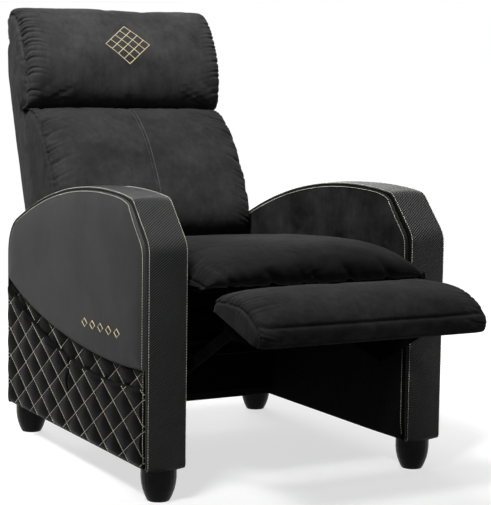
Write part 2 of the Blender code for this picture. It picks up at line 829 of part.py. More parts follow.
def lumbar_shape(a, b, c):
    """The back cushion: b runs forward to rear, c runs up. A shallow dart runs down its middle."""
    up = LUMBAR_BOTTOM + (c + 1) / 2 * (LUMBAR_TOP - LUMBAR_BOTTOM)
    wave = math.sin(math.pi * min(1.0, (c + 1) * LUMBAR_SWELL_SHARE))
    seam = CUSHION_PLANE - LUMBAR_SIDE_DEPTH - LUMBAR_SIDE_SWELL * wave**0.8
    dart = LUMBAR_DART * math.exp(-((a / LUMBAR_DART_SHARE) ** 2)) * ease(c, -LUMBAR_DART_FADE_SHARE, LUMBAR_DART_FADE_SHARE)
    front = seam - (LUMBAR_BULGE + seam) * crown(a, c, 3) * LUMBAR_CROWN_SHARE + dart
    y = CUSHION_PLANE + (front - CUSHION_PLANE) * (1 - b) / 2
    x = a * (BACK_HALF_WIDTH - CUSHION_PLAY - CORNER_DRAW * abs(c) ** 6)
    return (x, y, up)


def headrest_rows():
    """Up and behind for each row of the headrest's rear: up the frame's front, then over its top."""
    low = LUMBAR_TOP + SEAT_GAP
    ledge = BACK_SHELL_TOP + HEADREST_CLEARANCE
    last = BACK_REAR_FACE - HEADREST_CLEARANCE
    rows = []
    for i in range(HEADREST_ROWS - 4):
        rows.append((low + (ledge - HEADREST_STEP - low) * i / (HEADREST_ROWS - 5), CUSHION_PLANE))
    rows.append((ledge, CUSHION_PLANE))
    rows.append((ledge, CUSHION_PLANE + HEADREST_STEP))
    rows.append((ledge + HEADREST_CLEARANCE, last))
    rows.append(((ledge + HEADREST_TOP) / 2, last))
    rows.append((HEADREST_TOP - HEADREST_STEP / 2, last - HEADREST_STEP * 2))
    return rows


def headrest_shape(a, b, c):
    """The headrest: a fat roll that hangs over the back's top edge."""
    low = LUMBAR_TOP + SEAT_GAP
    share = (c + 1) / 2
    rear_up, rear = headrest_rows()[round(share * HEADREST_ROWS)]
    front_up = low + share * (HEADREST_TOP - low)
    roll = 1 - (abs(share - HEADREST_CREST_SHARE) / HEADREST_ROLL_SHARE) ** 2.6
    side = 1 - HEADREST_SIDE_SHARE * abs(a) ** 6
    front = HEADREST_SEAM + (HEADREST_FRONT - HEADREST_SEAM) * roll * side
    mix = (b + 1) / 2
    y = front + (rear - front) * mix
    up = front_up + (rear_up - front_up) * mix
    x = a * (BACK_HALF_WIDTH + HEADREST_OVERHANG - CORNER_DRAW * abs(c) ** 6)
    return (x, y, up)


def build_seat(seat):
    """The gliding seat: side plates, rails, springs, front board and cushion."""
    pivot_reach = LINK_WIDTH * 0.65
    outline = rounded(
        [
            (SEAT_PLATE_FRONT, SEAT_RAIL_TOP, PLATE),
            (SEAT_PLATE_FRONT, SEAT_PLATE_LOW + 2 * LINK_WIDTH, PLATE),
            (LIFT_PIVOT[0] - LINK_WIDTH, LIFT_PIVOT[1] - pivot_reach, LINK_WIDTH / 2),
            (STEADY_PIVOT[0] - pivot_reach, STEADY_PIVOT[1] - pivot_reach, PLATE * 2),
            (STEADY_PIVOT[0] + pivot_reach, STEADY_PIVOT[1] - pivot_reach, PLATE * 2),
            (STEADY_PIVOT[0] + 2 * LINK_WIDTH, SEAT_PLATE_LOW, LINK_WIDTH / 2),
            (SEAT_PLATE_REAR, SEAT_PLATE_LOW, LINK_WIDTH / 2),
            (SEAT_PLATE_REAR, SEAT_RAIL_TOP - LINK_WIDTH, LINK_WIDTH / 2),
            (REAR_RAIL_FRONT + SEAT_RAIL_DEPTH, SEAT_RAIL_TOP, PLATE),
        ],
        4,
    )
    pivot_hole = circle(BACK_PIVOT, PIN_RADIUS + PIN_PLAY)
    for side, name in ((-1, "right"), (1, "left")):
        plate = as_mesh(
            add_plate(
                f"{name}_seat_plate",
                seat,
                "black_steel",
                [outline, pivot_hole],
                side * SEAT_PLATE_X,
                PLATE,
            )
        )
        finish(plate, seat, "black_steel")
        for label, place in (("lift", LIFT_PIVOT), ("steady", STEADY_PIVOT)):
            stud = span_rod(side, LIFT_X - PLATE / 2, SEAT_PLATE_X, place)
            combine(plate, stud, "UNION", f"{name}_{label}_stud")
        for label, y in (("front", GUIDE_FRONT), ("rear", GUIDE_REAR)):
            stud = span_rod(side, SEAT_PLATE_X, BASE_RAIL_X + PLATE / 2, (y, GUIDE_HEIGHT))
            combine(plate, stud, "UNION", f"{name}_{label}_guide_stud")

    reach = SEAT_PLATE_X - PLATE / 2 - SEAT_GAP
    for label, front in (("front", FRONT_RAIL_FRONT), ("rear", REAR_RAIL_FRONT)):
        add_box(
            f"seat_{label}_rail",
            seat,
            "frame_wood",
            (-reach, front, SEAT_RAIL_TOP - SEAT_RAIL_HEIGHT),
            (reach, front + SEAT_RAIL_DEPTH, SEAT_RAIL_TOP),
        )
    add_box(
        "seat_front_board",
        seat,
        "black_velvet",
        (-reach, FRONT_BOARD_NOSE, SEAT_BOARD_LOW),
        (reach, FRONT_BOARD_REAR, SEAT_BOARD_LOW + BOARD_THICKNESS),
        PLATE / 2,
    )
    spring_low = SEAT_RAIL_TOP + SEAT_GAP + SPRING_WIRE
    spring_arch = SEAT_BASE - SEAT_GAP - SPRING_WIRE - spring_low - SEAT_GAP
    for i in range(SEAT_SPRING_COUNT):
        add_spring(
            f"seat_spring_{i + 1}",
            seat,
            (i - (SEAT_SPRING_COUNT - 1) / 2) * SEAT_SPRING_PITCH_SHARE * 2 * SEAT_HALF_WIDTH,
            FRONT_BOARD_REAR + SPRING_WIRE * 2,
            REAR_RAIL_FRONT + SEAT_RAIL_DEPTH / 2,
            spring_low,
            spring_arch,
            SPRING_BENDS,
            True,
        )
    add_cushion("seat_cushion", seat, (8, 10, 3), seat_shape)


def span_rod(side, low, high, place):
    """A stud between two distances from the middle plane, on one side of the chair."""
    return rod_mesh(PIN_RADIUS, min(side * low, side * high), max(side * low, side * high), place)


def build_back(back):
    """The reclining back: a wooden frame in a cover, springs, hinge brackets and two cushions."""
    face = BACK_REAR_FACE - COVER_WALL - SEAT_GAP
    rim = BACK_REAR_FACE - BACK_SHELL_DEPTH
    front = rim + 2 * (SPRING_WIRE + SEAT_GAP)
    half = BACK_HALF_WIDTH - COVER_WALL - SEAT_GAP
    bracket_x = LIFT_X
    stile_out = bracket_x - PLATE / 2 - SEAT_GAP
    top = BACK_SHELL_TOP - COVER_WALL - SEAT_GAP
    for side, name in ((-1, "right"), (1, "left")):
        add_box(
            f"back_{name}_stile",
            back,
            "frame_wood",
            (side * stile_out, front, BACK_FOOT),
            (side * (stile_out - STILE_WIDTH), face, top),
        )
        bracket = rounded(
            [
                (-BRACKET_WIDTH / 2, BRACKET_WIDTH * 0.15, BRACKET_WIDTH * 0.3),
                (-BRACKET_WIDTH * 0.15, -BRACKET_WIDTH / 2, BRACKET_WIDTH * 0.3),
                (rim - PLATE * 3, BACK_FOOT + PLATE / 2, PLATE * 3),
                (face - PLATE, BACK_FOOT + PLATE, PLATE),
                (face - PLATE, BACK_FOOT + BRACKET_WIDTH * 3, PLATE),
                (front + PLATE, BACK_FOOT + BRACKET_WIDTH * 3, PLATE),
                (front, LUMBAR_BOTTOM - PLATE * 2, PLATE),
            ],
            4,
        )
        add_plate(
            f"{name}_back_bracket",
            back,
            "black_steel",
            [bracket, circle((0.0, 0.0), PIN_RADIUS + PIN_PLAY)],
            side * bracket_x,
            PLATE,
        )
        pin = span_rod(
            side, bracket_x - PLATE / 2 - PIN_HEAD, SEAT_PLATE_X + PLATE / 2 + PIN_HEAD, (0.0, 0.0)
        )
        mesh_object(f"{name}_back_pin", pin, back, "spring_steel")
    rail_reach = stile_out - STILE_WIDTH - SEAT_GAP
    for label, low in (("bottom", BACK_FOOT), ("top", top - RAIL_HEIGHT)):
        add_box(
            f"back_{label}_rail",
            back,
            "frame_wood",
            (-rail_reach, front, low),
            (rail_reach, face, low + RAIL_HEIGHT),
        )
    add_back_cover(back, half)
    spring_y = rim + SPRING_WIRE + SEAT_GAP
    for i in range(BACK_SPRING_COUNT):
        add_spring(
            f"back_spring_{i + 1}",
            back,
            (i - (BACK_SPRING_COUNT - 1) / 2) * BACK_SPRING_PITCH_SHARE * 2 * BACK_HALF_WIDTH,
            BACK_FOOT + RAIL_HEIGHT / 2,
            top - RAIL_HEIGHT / 2,
            spring_y,
            0.0,
            BACK_SPRING_BENDS,
            False,
        )
    add_cushion("lumbar_cushion", back, (10, 3, 9), lumbar_shape)
    add_cushion("headrest_cushion", back, (8, 3, HEADREST_ROWS), headrest_shape)


def add_back_cover(back, half):
    """The cover is a tray round the frame: a rear skin and four walls, open to the front."""
    front = BACK_REAR_FACE - BACK_SHELL_DEPTH
    outer = add_box(
        "back_cover",
        back,
        "black_velvet",
        (-BACK_HALF_WIDTH, front, BACK_FOOT - COVER_WALL - SEAT_GAP),
        (BACK_HALF_WIDTH, BACK_REAR_FACE, BACK_SHELL_TOP),
        COVER_WALL,
    )
    room = box_mesh(
        (-half, front - CUT_OVERRUN, BACK_FOOT - SEAT_GAP),
        (half, BACK_REAR_FACE - COVER_WALL, BACK_SHELL_TOP - COVER_WALL),
    )
    combine(outer, room, "DIFFERENCE", "back_cover_room")


def link_outline(length, tail=0.0):
    """A bar with round ends from one pivot to the next."""
    radius = LINK_WIDTH / 2
    points = []
    for centre, start in ((length, -math.pi / 2), (-tail, math.pi / 2)):
        for i in range(9):
            turn = start + math.pi * i / 8
            points.append((centre + radius * math.cos(turn), radius * math.sin(turn)))
    return points


def build_footrest(root):
    """The folding footrest: lift links, reach links, steady links, board and pad."""
    tilt = math.radians(180 + FOOTREST_TILT)
    along = Vector((math.cos(tilt), math.sin(tilt)))
    under = Vector((-math.sin(tilt), math.cos(tilt)))
    tip = (
        Vector(FOOTREST_REAR) + along * FOOTREST_PIVOT_ALONG + under * FOOTREST_PIVOT_BELOW
    )
    lift_angle, reach_angle, elbow = two_link(LIFT_PIVOT, tip, LIFT_LENGTH, REACH_LENGTH)
    tail = Vector(elbow) - REACH_TAIL * Vector((math.cos(reach_angle), math.sin(reach_angle)))
    steady = tail - Vector(STEADY_PIVOT)

    lift = add_empty("footrest_lift_axis", root, LIFT_PIVOT, lift_angle)
    reach = add_empty("footrest_reach_axis", root, elbow, reach_angle)
    control = add_empty(
        "footrest_steady_axis", root, STEADY_PIVOT, math.atan2(steady.y, steady.x)
    )
    rest = add_empty("footrest_board_axis", root, tuple(tip), tilt)
    hole = PIN_RADIUS + PIN_PLAY
    for side, name in ((-1, "right"), (1, "left")):
        link = as_mesh(
            add_plate(
                f"{name}_lift_link",
                lift,
                "black_steel",
                [link_outline(LIFT_LENGTH), circle((0.0, 0.0), hole)],
                side * LIFT_X,
                PLATE,
            )
        )
        finish(link, lift, "black_steel")
        stud = span_rod(side, LIFT_X, REACH_X - PLATE / 2 - PIN_HEAD, (LIFT_LENGTH, 0.0))
        combine(link, stud, "UNION", f"{name}_elbow_stud")
        add_plate(
            f"{name}_reach_link",
            reach,
            "black_steel",
            [
                link_outline(REACH_LENGTH, REACH_TAIL),
                circle((0.0, 0.0), hole),
                circle((REACH_LENGTH, 0.0), hole),
                circle((-REACH_TAIL, 0.0), hole),
            ],
            side * REACH_X,
            PLATE,
        )
        add_plate(
            f"{name}_steady_link",
            control,
            "black_steel",
            [
                link_outline(steady.length),
                circle((0.0, 0.0), hole),
                circle((steady.length, 0.0), hole),
            ],
            side * LIFT_X,
            PLATE,
        )
        start = END_BRACKET_START - FOOTREST_PIVOT_ALONG
        top = -FOOTREST_PIVOT_BELOW + SEAT_GAP
        bracket = rounded(
            [
                (start, top, 0.0),
                (start + END_BRACKET_LENGTH, top, 0.0),
                (start + END_BRACKET_LENGTH, top + PLATE * 2, PLATE),
                (LINK_WIDTH / 2, LINK_WIDTH / 2, PLATE * 2),
                (-LINK_WIDTH / 2, LINK_WIDTH / 2, PLATE * 2),
                (start, top + PLATE * 2, PLATE),
            ],
            4,
        )
        piece = as_mesh(
            add_plate(
                f"{name}_end_bracket", rest, "black_steel", [bracket], side * LIFT_X, PLATE
            )
        )
        finish(piece, rest, "black_steel")
        stud = span_rod(side, LIFT_X, REACH_X - PLATE / 2 - PIN_HEAD, (0.0, 0.0))
        combine(piece, stud, "UNION", f"{name}_board_stud")

    tube_reach = LIFT_X - PLATE / 2 - SEAT_GAP
    add_rod(
        "footrest_torque_tube",
        lift,
        "black_steel",
        TORQUE_TUBE_RADIUS,
        -tube_reach,
        tube_reach,
        (TORQUE_TUBE_ALONG, 0.0),
    )
    add_box(
        "footrest_board",
        rest,
        "frame_wood",
        (
            -FOOTREST_HALF_WIDTH + BOARD_THICKNESS / 2,
            -FOOTREST_PIVOT_ALONG,
            -FOOTREST_PIVOT_BELOW - BOARD_THICKNESS,
        ),
        (
            FOOTREST_HALF_WIDTH - BOARD_THICKNESS / 2,
            FOOTREST_LENGTH - FOOTREST_PIVOT_ALONG,
            -FOOTREST_PIVOT_BELOW,
        ),
        PLATE / 2,
    )
    add_cushion("footrest_pad", rest, (10, 6, 3), footrest_shape)


def centre_on_footprint(root):
    """Moves the chair so that the origin is the middle of its box, on the floor."""
    bpy.context.view_layer.update()
    graph = bpy.context.evaluated_depsgraph_get()
    spans = []
    for obj in PARTS.objects:
        if obj.type == "EMPTY":
            continue
        evaluated = obj.evaluated_get(graph)
        mesh = evaluated.to_mesh()
        spans.extend((evaluated.matrix_world @ v.co).y for v in mesh.vertices)
        evaluated.to_mesh_clear()
    root.location.y = -(min(spans) + max(spans)) / 2
    return root.location.y


def main():
    root = add_empty("chair")
    base = add_empty("base_frame", root)
    seat = add_empty("seat_frame", root)
    back = add_empty("back_axis", root, BACK_PIVOT, -math.radians(BACK_TILT))
    build_base(base)
    build_seat(seat)
    build_back(back)
    build_footrest(root)
    shift = centre_on_footprint(root)
    print("origin shift along Y:", round(shift, 6))


main()
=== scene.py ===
"""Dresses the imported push-back recliner: leather and velvet covers, stitching, cushions and materials.

Metres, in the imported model's frame: +Z up, the sitter faces -Y and +X is the sitter's left.
"""

import json
import math
from types import SimpleNamespace as Sizes

import bmesh
import bpy
import numpy as np
from mathutils import Matrix, Vector
from mathutils.bvhtree import BVHTree

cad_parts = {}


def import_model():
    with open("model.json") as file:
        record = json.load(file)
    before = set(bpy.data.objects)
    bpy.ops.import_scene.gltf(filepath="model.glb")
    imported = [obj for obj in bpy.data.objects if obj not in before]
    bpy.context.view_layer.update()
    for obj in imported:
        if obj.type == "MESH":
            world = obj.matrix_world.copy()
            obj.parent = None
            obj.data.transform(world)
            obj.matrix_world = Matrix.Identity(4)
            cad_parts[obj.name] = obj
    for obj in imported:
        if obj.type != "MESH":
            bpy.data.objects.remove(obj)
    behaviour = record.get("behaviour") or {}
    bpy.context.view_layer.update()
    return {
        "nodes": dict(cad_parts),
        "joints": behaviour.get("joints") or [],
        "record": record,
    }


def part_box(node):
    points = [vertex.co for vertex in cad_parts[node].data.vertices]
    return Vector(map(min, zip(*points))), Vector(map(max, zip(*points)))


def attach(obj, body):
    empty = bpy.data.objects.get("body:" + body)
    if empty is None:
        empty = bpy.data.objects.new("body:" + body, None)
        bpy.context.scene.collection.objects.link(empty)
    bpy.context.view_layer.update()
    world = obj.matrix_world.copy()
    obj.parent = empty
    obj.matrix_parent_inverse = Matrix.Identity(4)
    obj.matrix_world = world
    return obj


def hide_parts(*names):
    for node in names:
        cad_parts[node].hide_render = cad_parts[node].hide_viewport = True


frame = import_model()

# What the frame says
JOINTS = {joint["name"]: joint for joint in frame["joints"]}
BAND_LOW, BAND_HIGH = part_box("left_edge_band")
FRONT = BAND_LOW.y
ARM_DEPTH = BAND_HIGH.y - BAND_LOW.y
OUTER_FACE = BAND_HIGH.x
INNER_FACE = BAND_LOW.x
ARM_HALF = (OUTER_FACE - INNER_FACE) / 2
ARM_MIDDLE = (OUTER_FACE + INNER_FACE) / 2
ARM_BOTTOM = BAND_LOW.z
ARM_TOP = BAND_HIGH.z
BACK_PIVOT = Vector(JOINTS["back_recline"]["pos_m"])
BOARD_PIVOT = Vector(JOINTS["footrest_board_fold"]["pos_m"])
BACK_TILT = math.radians(20.0)
BOARD_TILT = math.radians(16.0)

# The arm's outline in the side view, from the arm's front
KNEE_HEIGHT = 0.500
BROW_BACK = 0.077
ARM_TOP_BACK = 0.235
SHOULDER_DROP = 0.081  # from the highest point down to where the shoulder starts
SHOULDER_RADIUS = 0.090
KNEE_RADIUS = 0.045
BROW_RADIUS = 0.032
HEM_RADIUS = 0.009
SHOULDER_RUN = 0.092
BROW_RUN = 0.022
PATH_STEP = 0.006
FILLET_STEPS = 10
SEAM_SOFTENING = 4
SEAM_WINDOW = 11
AHEAD_SHARES = (0.05, 0.78)  # how far the outline faces the front where the seam gets deep
BEHIND_SHARES = (0.30, 0.80)
UPPER_SHARE = 0.7  # of the knee's height, above which a panel's top edge is found
TOP_RUN = ARM_DEPTH - SHOULDER_RUN - ARM_TOP_BACK
TOP_RADIUS = (TOP_RUN**2 + SHOULDER_DROP**2) / (2 * SHOULDER_DROP)

# The arm's covers
SEAM_FRONT = 0.0190  # outline to the seam between the edge strip and a panel, along the arm's front
SEAM_TOP = 0.0046
SEAM_REAR = 0.0030
STRIP_CROWN = 0.0026
STRIP_WIDER = 0.0020  # the strip stands out over the outer panel
STRIP_ROUND = 0.006
STRIP_SKIN = 0.002
STRIP_SKIN_SHARES = (0.93, 0.6)  # of the strip's width and of the seam's depth
STRIP_SEAM_SHADE = 0.0195  # width of the strip's painted shade, nearly black, beside each seam
SEAM_SHADE_FADE = 0.004
STRIP_SIDE_SHARES = ((1.0, 1.0), (0.86, 0.92), (0.52, 0.72), (0.20, 0.50), (0.04, 0.38))  # drop, depth
STRIP_RUN = OUTER_FACE - INNER_FACE + 2 * SEAM_FRONT - STRIP_ROUND  # across the strip, from seam to seam
VALLEY = 0.0042
VALLEY_REAR_SHARE = 0.35
VALLEY_FADE = (0.05, 0.14)
INNER_CROWN = 0.0006
PANEL_SKIN = 0.0098
PANEL_ROLL = 0.0050
PANEL_STITCH_LIFT = 0.0005
STITCH_INSET_FRONT = 0.0046  # seam to the panel's stitch line
STITCH_INSET_TOP = 0.0036
STITCH_START = 0.012  # hem to the first stitch
STRIP_STITCH_TURNS = (74, 22)  # degrees round the strip's edge, and how much less of it in front
PANEL_CROWN = 0.0080
PANEL_CROWN_REACH = 0.075
EDGE_STITCH = (0.0052, 0.0044, 0.00060, 0.0004)  # pitch, length, radius, lift
QUILT_STITCH = (0.0056, 0.0048, 0.00062, 0.0024)
STITCH_NUDGE = 0.001
STITCH_END_SHARE = 0.7  # of a stitch's radius, how far its ends dip
STITCH_BODY_SHARE = 0.30  # of a stitch's length, from its middle to the end of its full part
QUILT_LOW = 0.2525
QUILT_LOW_BACK = 0.150
QUILT_RISE = 0.095
MOUTH_DROP = 0.0385
MOUTH_LOW_BACK = 0.200
MOUTH_RISE = 0.117
END_LIFT = 0.010
DIVIDER_BACK = 0.391
DIVIDER_SINK = 0.0038
DIVIDER_WIDTH = 0.0028
DIVIDER_LOW = (0.15, 0.165)
REAR_LIP = 0.0015  # from the arm's rear edge to the quilting that is folded over it
LIP_RISE = 0.0044
LIP_RUN = (0.010, 0.001)  # before and after the rear seam
QUILT_FACE = 0.3325  # distance from the middle plane
QUILT_EDGE = (-0.004, 0.012)  # over this distance from its border the quilting puffs up
QUILT_ROLL = (0.0022, 0.006)  # depth and reach
QUILT_WAVE = (0.12, 0.11)  # share of the puff, and length
POCKET_INSIDE = 0.3375
POCKET_FACE = 0.3388
POCKET_MARGIN = 0.0035
POCKET_EDGE = (-0.003, 0.012)
POCKET_ROLL = (0.0042, 0.007)
POCKET_MOUTH_ROLL = (0.0024, 0.005)
POCKET_REAR_ROLL = (0.0030, 0.006)
POCKET_BOW = (0.0022, 0.0026)  # of the front and the rear pocket
POCKET_BOW_REACH = 0.035
POCKET_BOW_FADE = 0.02
PUFF = 0.0072
PUFF_SOFT_SHARE = 0.02
BACK_ROWS = 4
BORDER_POINTS = 160
COLUMN_SHARE = 0.003  # first step of a panel's grid, of its length, of its height and of its border
ROW_SHARE = 0.006
BORDER_SHARE = 0.0005
HEM_THICKNESS = 0.0012
QUILT_TUCK = 0.050  # how far the upper quilting runs down behind the pocket
BEHIND_MOUTH = 0.004
DIAMOND_WIDTH = 0.0966
DIAMOND_HEIGHT = 0.0616
DIAMOND_BACK = 0.0625
DIAMOND_UP = 0.1765
LATTICE_SHORT = (0.002, 0.0025, 0.002)  # a stitch line stops short of the low, high and rear borders

# Cushions. A pleat is (depth, pitch, reach), a fold is (depth, pitch) and a wave is (height, length).
# A pair such as soft, upper, near, nose or front is the range over which a shape or a fold eases in.
CAP_SEAM = 0.0025
ON_BACK = 0.004  # a cushion's points this near to what it rests on are held
ON_SEAT = 0.004
BACK_PLANE = 0.0795
CUSHION_HALF = 0.251
BETWEEN_ARMS = 0.2562  # half the width of the cushions that move between the arms
SEAT_BASE = 0.4190
PAD_BASE = 0.0200
CAP_RADIUS = 0.10
CAP_SHARES = (0.08, 0.3, 0.52, 0.7, 0.83, 0.92, 0.97, 0.995)
CAP_WAVE = (0.0020, 0.06)
CAP_PLEAT = (0.0034, 0.021, 0.035)
SEAM_DIP = 0.0045
SEAM_DIP_REACH = 0.0050
SEAM_WIDTH_SHARE = 0.012  # of a cushion's half width, held at each side seam in the cloth pass
LUMBAR = Sizes(
    name="lumbar_pad", body="back", replaces=["lumbar_cushion"], fill=0.75, points=360, growth_share=0.012,
    wider=0.003, bulge=0.004, centre=(0.04, 0.285), close_share=0.02, soft=(0.004, 0.03), wave=(0.0016, 0.16),
    upper=(0.24, 0.42), pleat=(0.0080, 0.0140, 0.036), seam=(0.0028, 0.0030), pucker=(0.0010, 0.013, 0.014),
    brow=(0.461, 0.020), brow_fold=(0.0022, 0.034),
    profile=[
        (0.0795, 0.112), (0.0795, 0.20), (0.0795, 0.30), (0.0795, 0.40), (0.0790, 0.452), (0.062, 0.4615),
        (0.042, 0.4605), (0.018, 0.448), (-0.007, 0.424), (-0.030, 0.386), (-0.051, 0.335),
        (-0.0650, 0.280), (-0.0720, 0.230), (-0.0710, 0.180), (-0.058, 0.140), (-0.028, 0.116),
        (0.020, 0.107), (0.060, 0.106),
    ],
)
HEADREST = Sizes(
    name="headrest_pad", body="back", replaces=["headrest_cushion"], fill=0.8, points=360, growth_share=0.004,
    wider=0.010, bulge=0.004, centre=(0.06, 0.59), close_share=None, soft=(0.002, 0.03), wave=(0.0014, 0.19),
    upper=(0.50, 0.62), pleat=(0.0072, 0.0125, 0.027), crease=(0.468, 0.026), crease_fold=(0.0030, 0.047),
    top=(0.60, 0.72), drop=0.013, arch=0.004, lift=0.006,
    profile=[
        (0.0795, 0.472), (0.0795, 0.52), (0.0795, 0.58), (0.0800, 0.632), (0.0880, 0.6565),
        (0.092, 0.6600), (0.0985, 0.667), (0.1005, 0.682), (0.0980, 0.702), (0.087, 0.7170), (0.066, 0.7235),
        (0.036, 0.7150), (0.011, 0.695), (-0.008, 0.662), (-0.0185, 0.620), (-0.0215, 0.575),
        (-0.0110, 0.530), (0.006, 0.496), (0.022, 0.474), (0.040, 0.4645), (0.062, 0.4650),
    ],
)
SEAT = Sizes(
    name="seat_pad", body="seat", replaces=["seat_cushion"], fill=0.8, points=400, growth_share=0.012,
    wider=0.003, bulge=0.003, centre=(0.30, 0.435), close_share=None, soft=(0.004, 0.03), wave=(0.0014, 0.18),
    near=(-0.075, 0.24), far=(0.2, 0.5), nose=(-0.10, 0.07), tuck=0.006, front=(-0.020, 0.045),
    under=(0.056, 0.03), fold=(0.0085, 0.034), pleat=(0.0044, 0.0165, 0.040),
    profile=[
        (0.628, 0.424), (0.634, 0.433), (0.628, 0.444), (0.600, 0.4510), (0.500, 0.4620), (0.380, 0.4740),
        (0.260, 0.4830), (0.160, 0.4905), (0.085, 0.4945), (0.030, 0.4940), (-0.020, 0.486), (-0.052, 0.469),
        (-0.0645, 0.449), (-0.060, 0.429), (-0.038, 0.4195), (0.020, 0.4190), (0.200, 0.4190),
        (0.400, 0.4190), (0.600, 0.4190),
    ],
)
PAD = Sizes(
    name="footrest_cushion", body="footrest", replaces=["footrest_pad", "footrest_board"], fill=0.7,
    points=260, growth_share=0.010, wider=0.0035, bulge=0.0015, centre=(0.045, 0.034), close_share=None,
    flat=0.010, soft=(0.003, 0.02), wave=(0.0012, 0.15), rear=(-0.06, 0.05), middle=(0.03, 0.07), tuck=0.007,
    seam=(0.0042, 0.0590, 0.0030), seam_from=(0.090, 0.105), front=(0.070, 0.100), pucker=(0.0022, 0.0170),
    pucker_at=(0.060, 0.012), corner=(0.0050, 0.0085, 0.030), pleat=(0.0046, 0.0150, 0.036),
    profile=[
        (-0.0600, 0.0215), (-0.0625, 0.0380), (-0.056, 0.0555), (-0.030, 0.0710), (0.010, 0.0830),
        (0.050, 0.0865), (0.086, 0.0805), (0.112, 0.0665), (0.1230, 0.0520), (0.1255, 0.0380),
        (0.1230, 0.0225), (0.1130, 0.0200), (0.060, 0.0200), (0.000, 0.0200), (-0.050, 0.0200),
    ],
)

# The cloth pass
CLOTH_ROW_STEP = 2
CLOTH_COLUMN_STEP = 5
CLOTH_FRAMES = 20
CLOTH_CAP = 0.022
CALM = 0.92  # share of the swelling that is taken back, so that only its folds stay
CLOTH = {
    "quality": 6, "mass": 0.25, "tension_stiffness": 12.0, "compression_stiffness": 12.0,
    "shear_stiffness": 4.0, "bending_stiffness": 0.15, "tension_damping": 8.0,
    "use_pressure": True, "uniform_pressure_force": 4.0, "vertex_group_mass": "seams",
}

# Sewing on the cushions and the arms
CENTRE_ENDS = (0.455, 0.125)
CENTRE_THREAD = 0.0042
CENTRE_STITCH = (0.0050, 0.0042, 0.00055, 0.0003)
SATIN_STITCH = (0.0016, 0.0034, 0.00085, 0.0004)
SEWING_STEP = 0.003
SATIN_STEP = 0.002
BEFORE_BACK = -0.15
EMBROIDERY_UP = 0.602
EMBROIDERY_WIDTH = 0.116
EMBROIDERY_HEIGHT = 0.098
LOZENGE_LINES = 5
MARK_COUNT = 5
MARK_FIRST = 0.130
MARK_PITCH = 0.040
MARK_HALF = 0.013
MARK_UP = 0.316
MARK_RISE = 0.0085

# The dust cloth and the back's cover
CLOTH_STAND = 0.0008
CLOTH_LOOSE = 0.0042
CLOTH_LOOSE_HALF = 0.2340
CLOTH_LOOSE_FADE = 0.008
CLOTH_FOLD = (0.004, 0.067)
CLOTH_HEM = 0.001
CLOTH_SKIN = 0.0010
CLOTH_SKIN_SHARE = 0.96
TUBE_ROWS = 14
SHELL_FRONT = 0.0803
SHELL_REAR = 0.1440
SHELL_LOW = -0.0165
SHELL_TOP = 0.6545
SHELL_RADII = (0.006, 0.014, 0.018)  # front, rear bottom, rear top
SHELL_STEP = 0.0055
SHELL_CENTRE = (0.112, 0.32)
SHELL_ROUND = 0.0030
SHELL_SEAM = 0.016
SHELL_CROSS_SEAM = 0.190
SHELL_GROOVE = (0.0034, 0.0026, 0.0030)  # depth, and half the width along and across
SHELL_PUFF = (0.0040, 0.10)
SHELL_WAVE = (0.0014, 0.13)
SHELL_PUCKER = (0.0012, 0.019, 0.016)
SHELL_CAP_WAVE = (0.0010, 0.08)
SHELL_REAR_EDGE = (0.012, 0.004, 0.010)
SHELL_LOW_PUFF = 0.0025
SHELL_LOW_BEHIND = (0.10, 0.14)
SHELL_LOW_UP = (0.60, 0.20)
SHELL_NARROWING = (0.56, 0.655)

# Depth of the materials' bumps
PILE_CRUSH = 0.006
PILE_NAP = 0.0008
PORES = 0.00035
CREASES = 0.002
RIBS = 0.0014
GRAIN = 0.0005
# Heights over which the arms' inner velvet turns from painted shade, near black under the seat, to its own
# colour
INNER_SHADE_HEIGHTS = (0.30, 0.40)

# Camera, from the photograph's perspective
CAMERA_X = -1.5489
CAMERA_BACK = -2.5358
CAMERA_Z = 0.7777
CAMERA_YAW = 0.5087
CAMERA_PITCH = -0.1024
CAMERA_ROLL = 0.0141
FOCAL_PIXELS = 1506.84
LONG_SIDE_PIXELS = 505
SENSOR = 36.0

# Floor and lamps: a lamp's name, place, size, power, target and spread in degrees
FLOOR_REACH = 30.0
FLOOR_FADE = (0.5, 2.0)
LAMPS = (
    ("key_lamp", (-1.6, -1.1, 3.2), 1.2, 10.5, (-0.25, -0.05, 0.95), 29.0),
    ("fill_lamp", (2.0, -2.2, 2.4), 1.8, 3.2, (0.0, 0.0, 0.60), 120.0),
    ("top_lamp", (-0.3, 0.0, 2.6), 1.4, 11.0, (0.0, 0.0, 0.50), 120.0),
    ("rear_lamp", (0.6, 2.5, 1.3), 1.8, 22.0, (0.0, 0.0, 0.60), 120.0),
)


def ease(value, low, high):
    """0 below low, 1 above high, smooth between. Takes arrays."""
    t = np.clip((np.asarray(value, float) - low) / (high - low), 0.0, 1.0)
    return t * t * (3 - 2 * t)


def bump(value, centre, width):
    return np.exp(-(((np.asarray(value, float) - centre) / width) ** 2))


def waves(p, q, length, seed):
    """A smooth, irregular field between about -1 and 1, from a few crossed sines."""
    k = 2 * math.pi / length
    total = np.sin(k * (p + 0.31 * q) + seed)
    total = total + np.sin(k * 1.37 * (0.54 * p - q) + 2.1 * seed + 1.0)
    total = total + np.sin(k * 0.71 * (p * 0.8 + q * 1.1) + 3.7 * seed + 2.0)
    total = total + np.sin(k * 1.93 * (p * 0.3 - q * 0.6) + 0.6 * seed + 4.0)
    return total / 4


def folds(s, pitch, seed):
    """Irregular narrow folds along a seam: 1 in a fold and 0 between them."""
    sway = 1.4 * np.sin(2 * math.pi * s / (4.3 * pitch) + seed)
    wave = 0.5 + 0.5 * np.sin(2 * math.pi * s / pitch + sway)
    strength = 0.55 + 0.45 * np.sin(2 * math.pi * s / (2.7 * pitch) + 2.3 * seed)
    return wave**3 * strength


# Materials


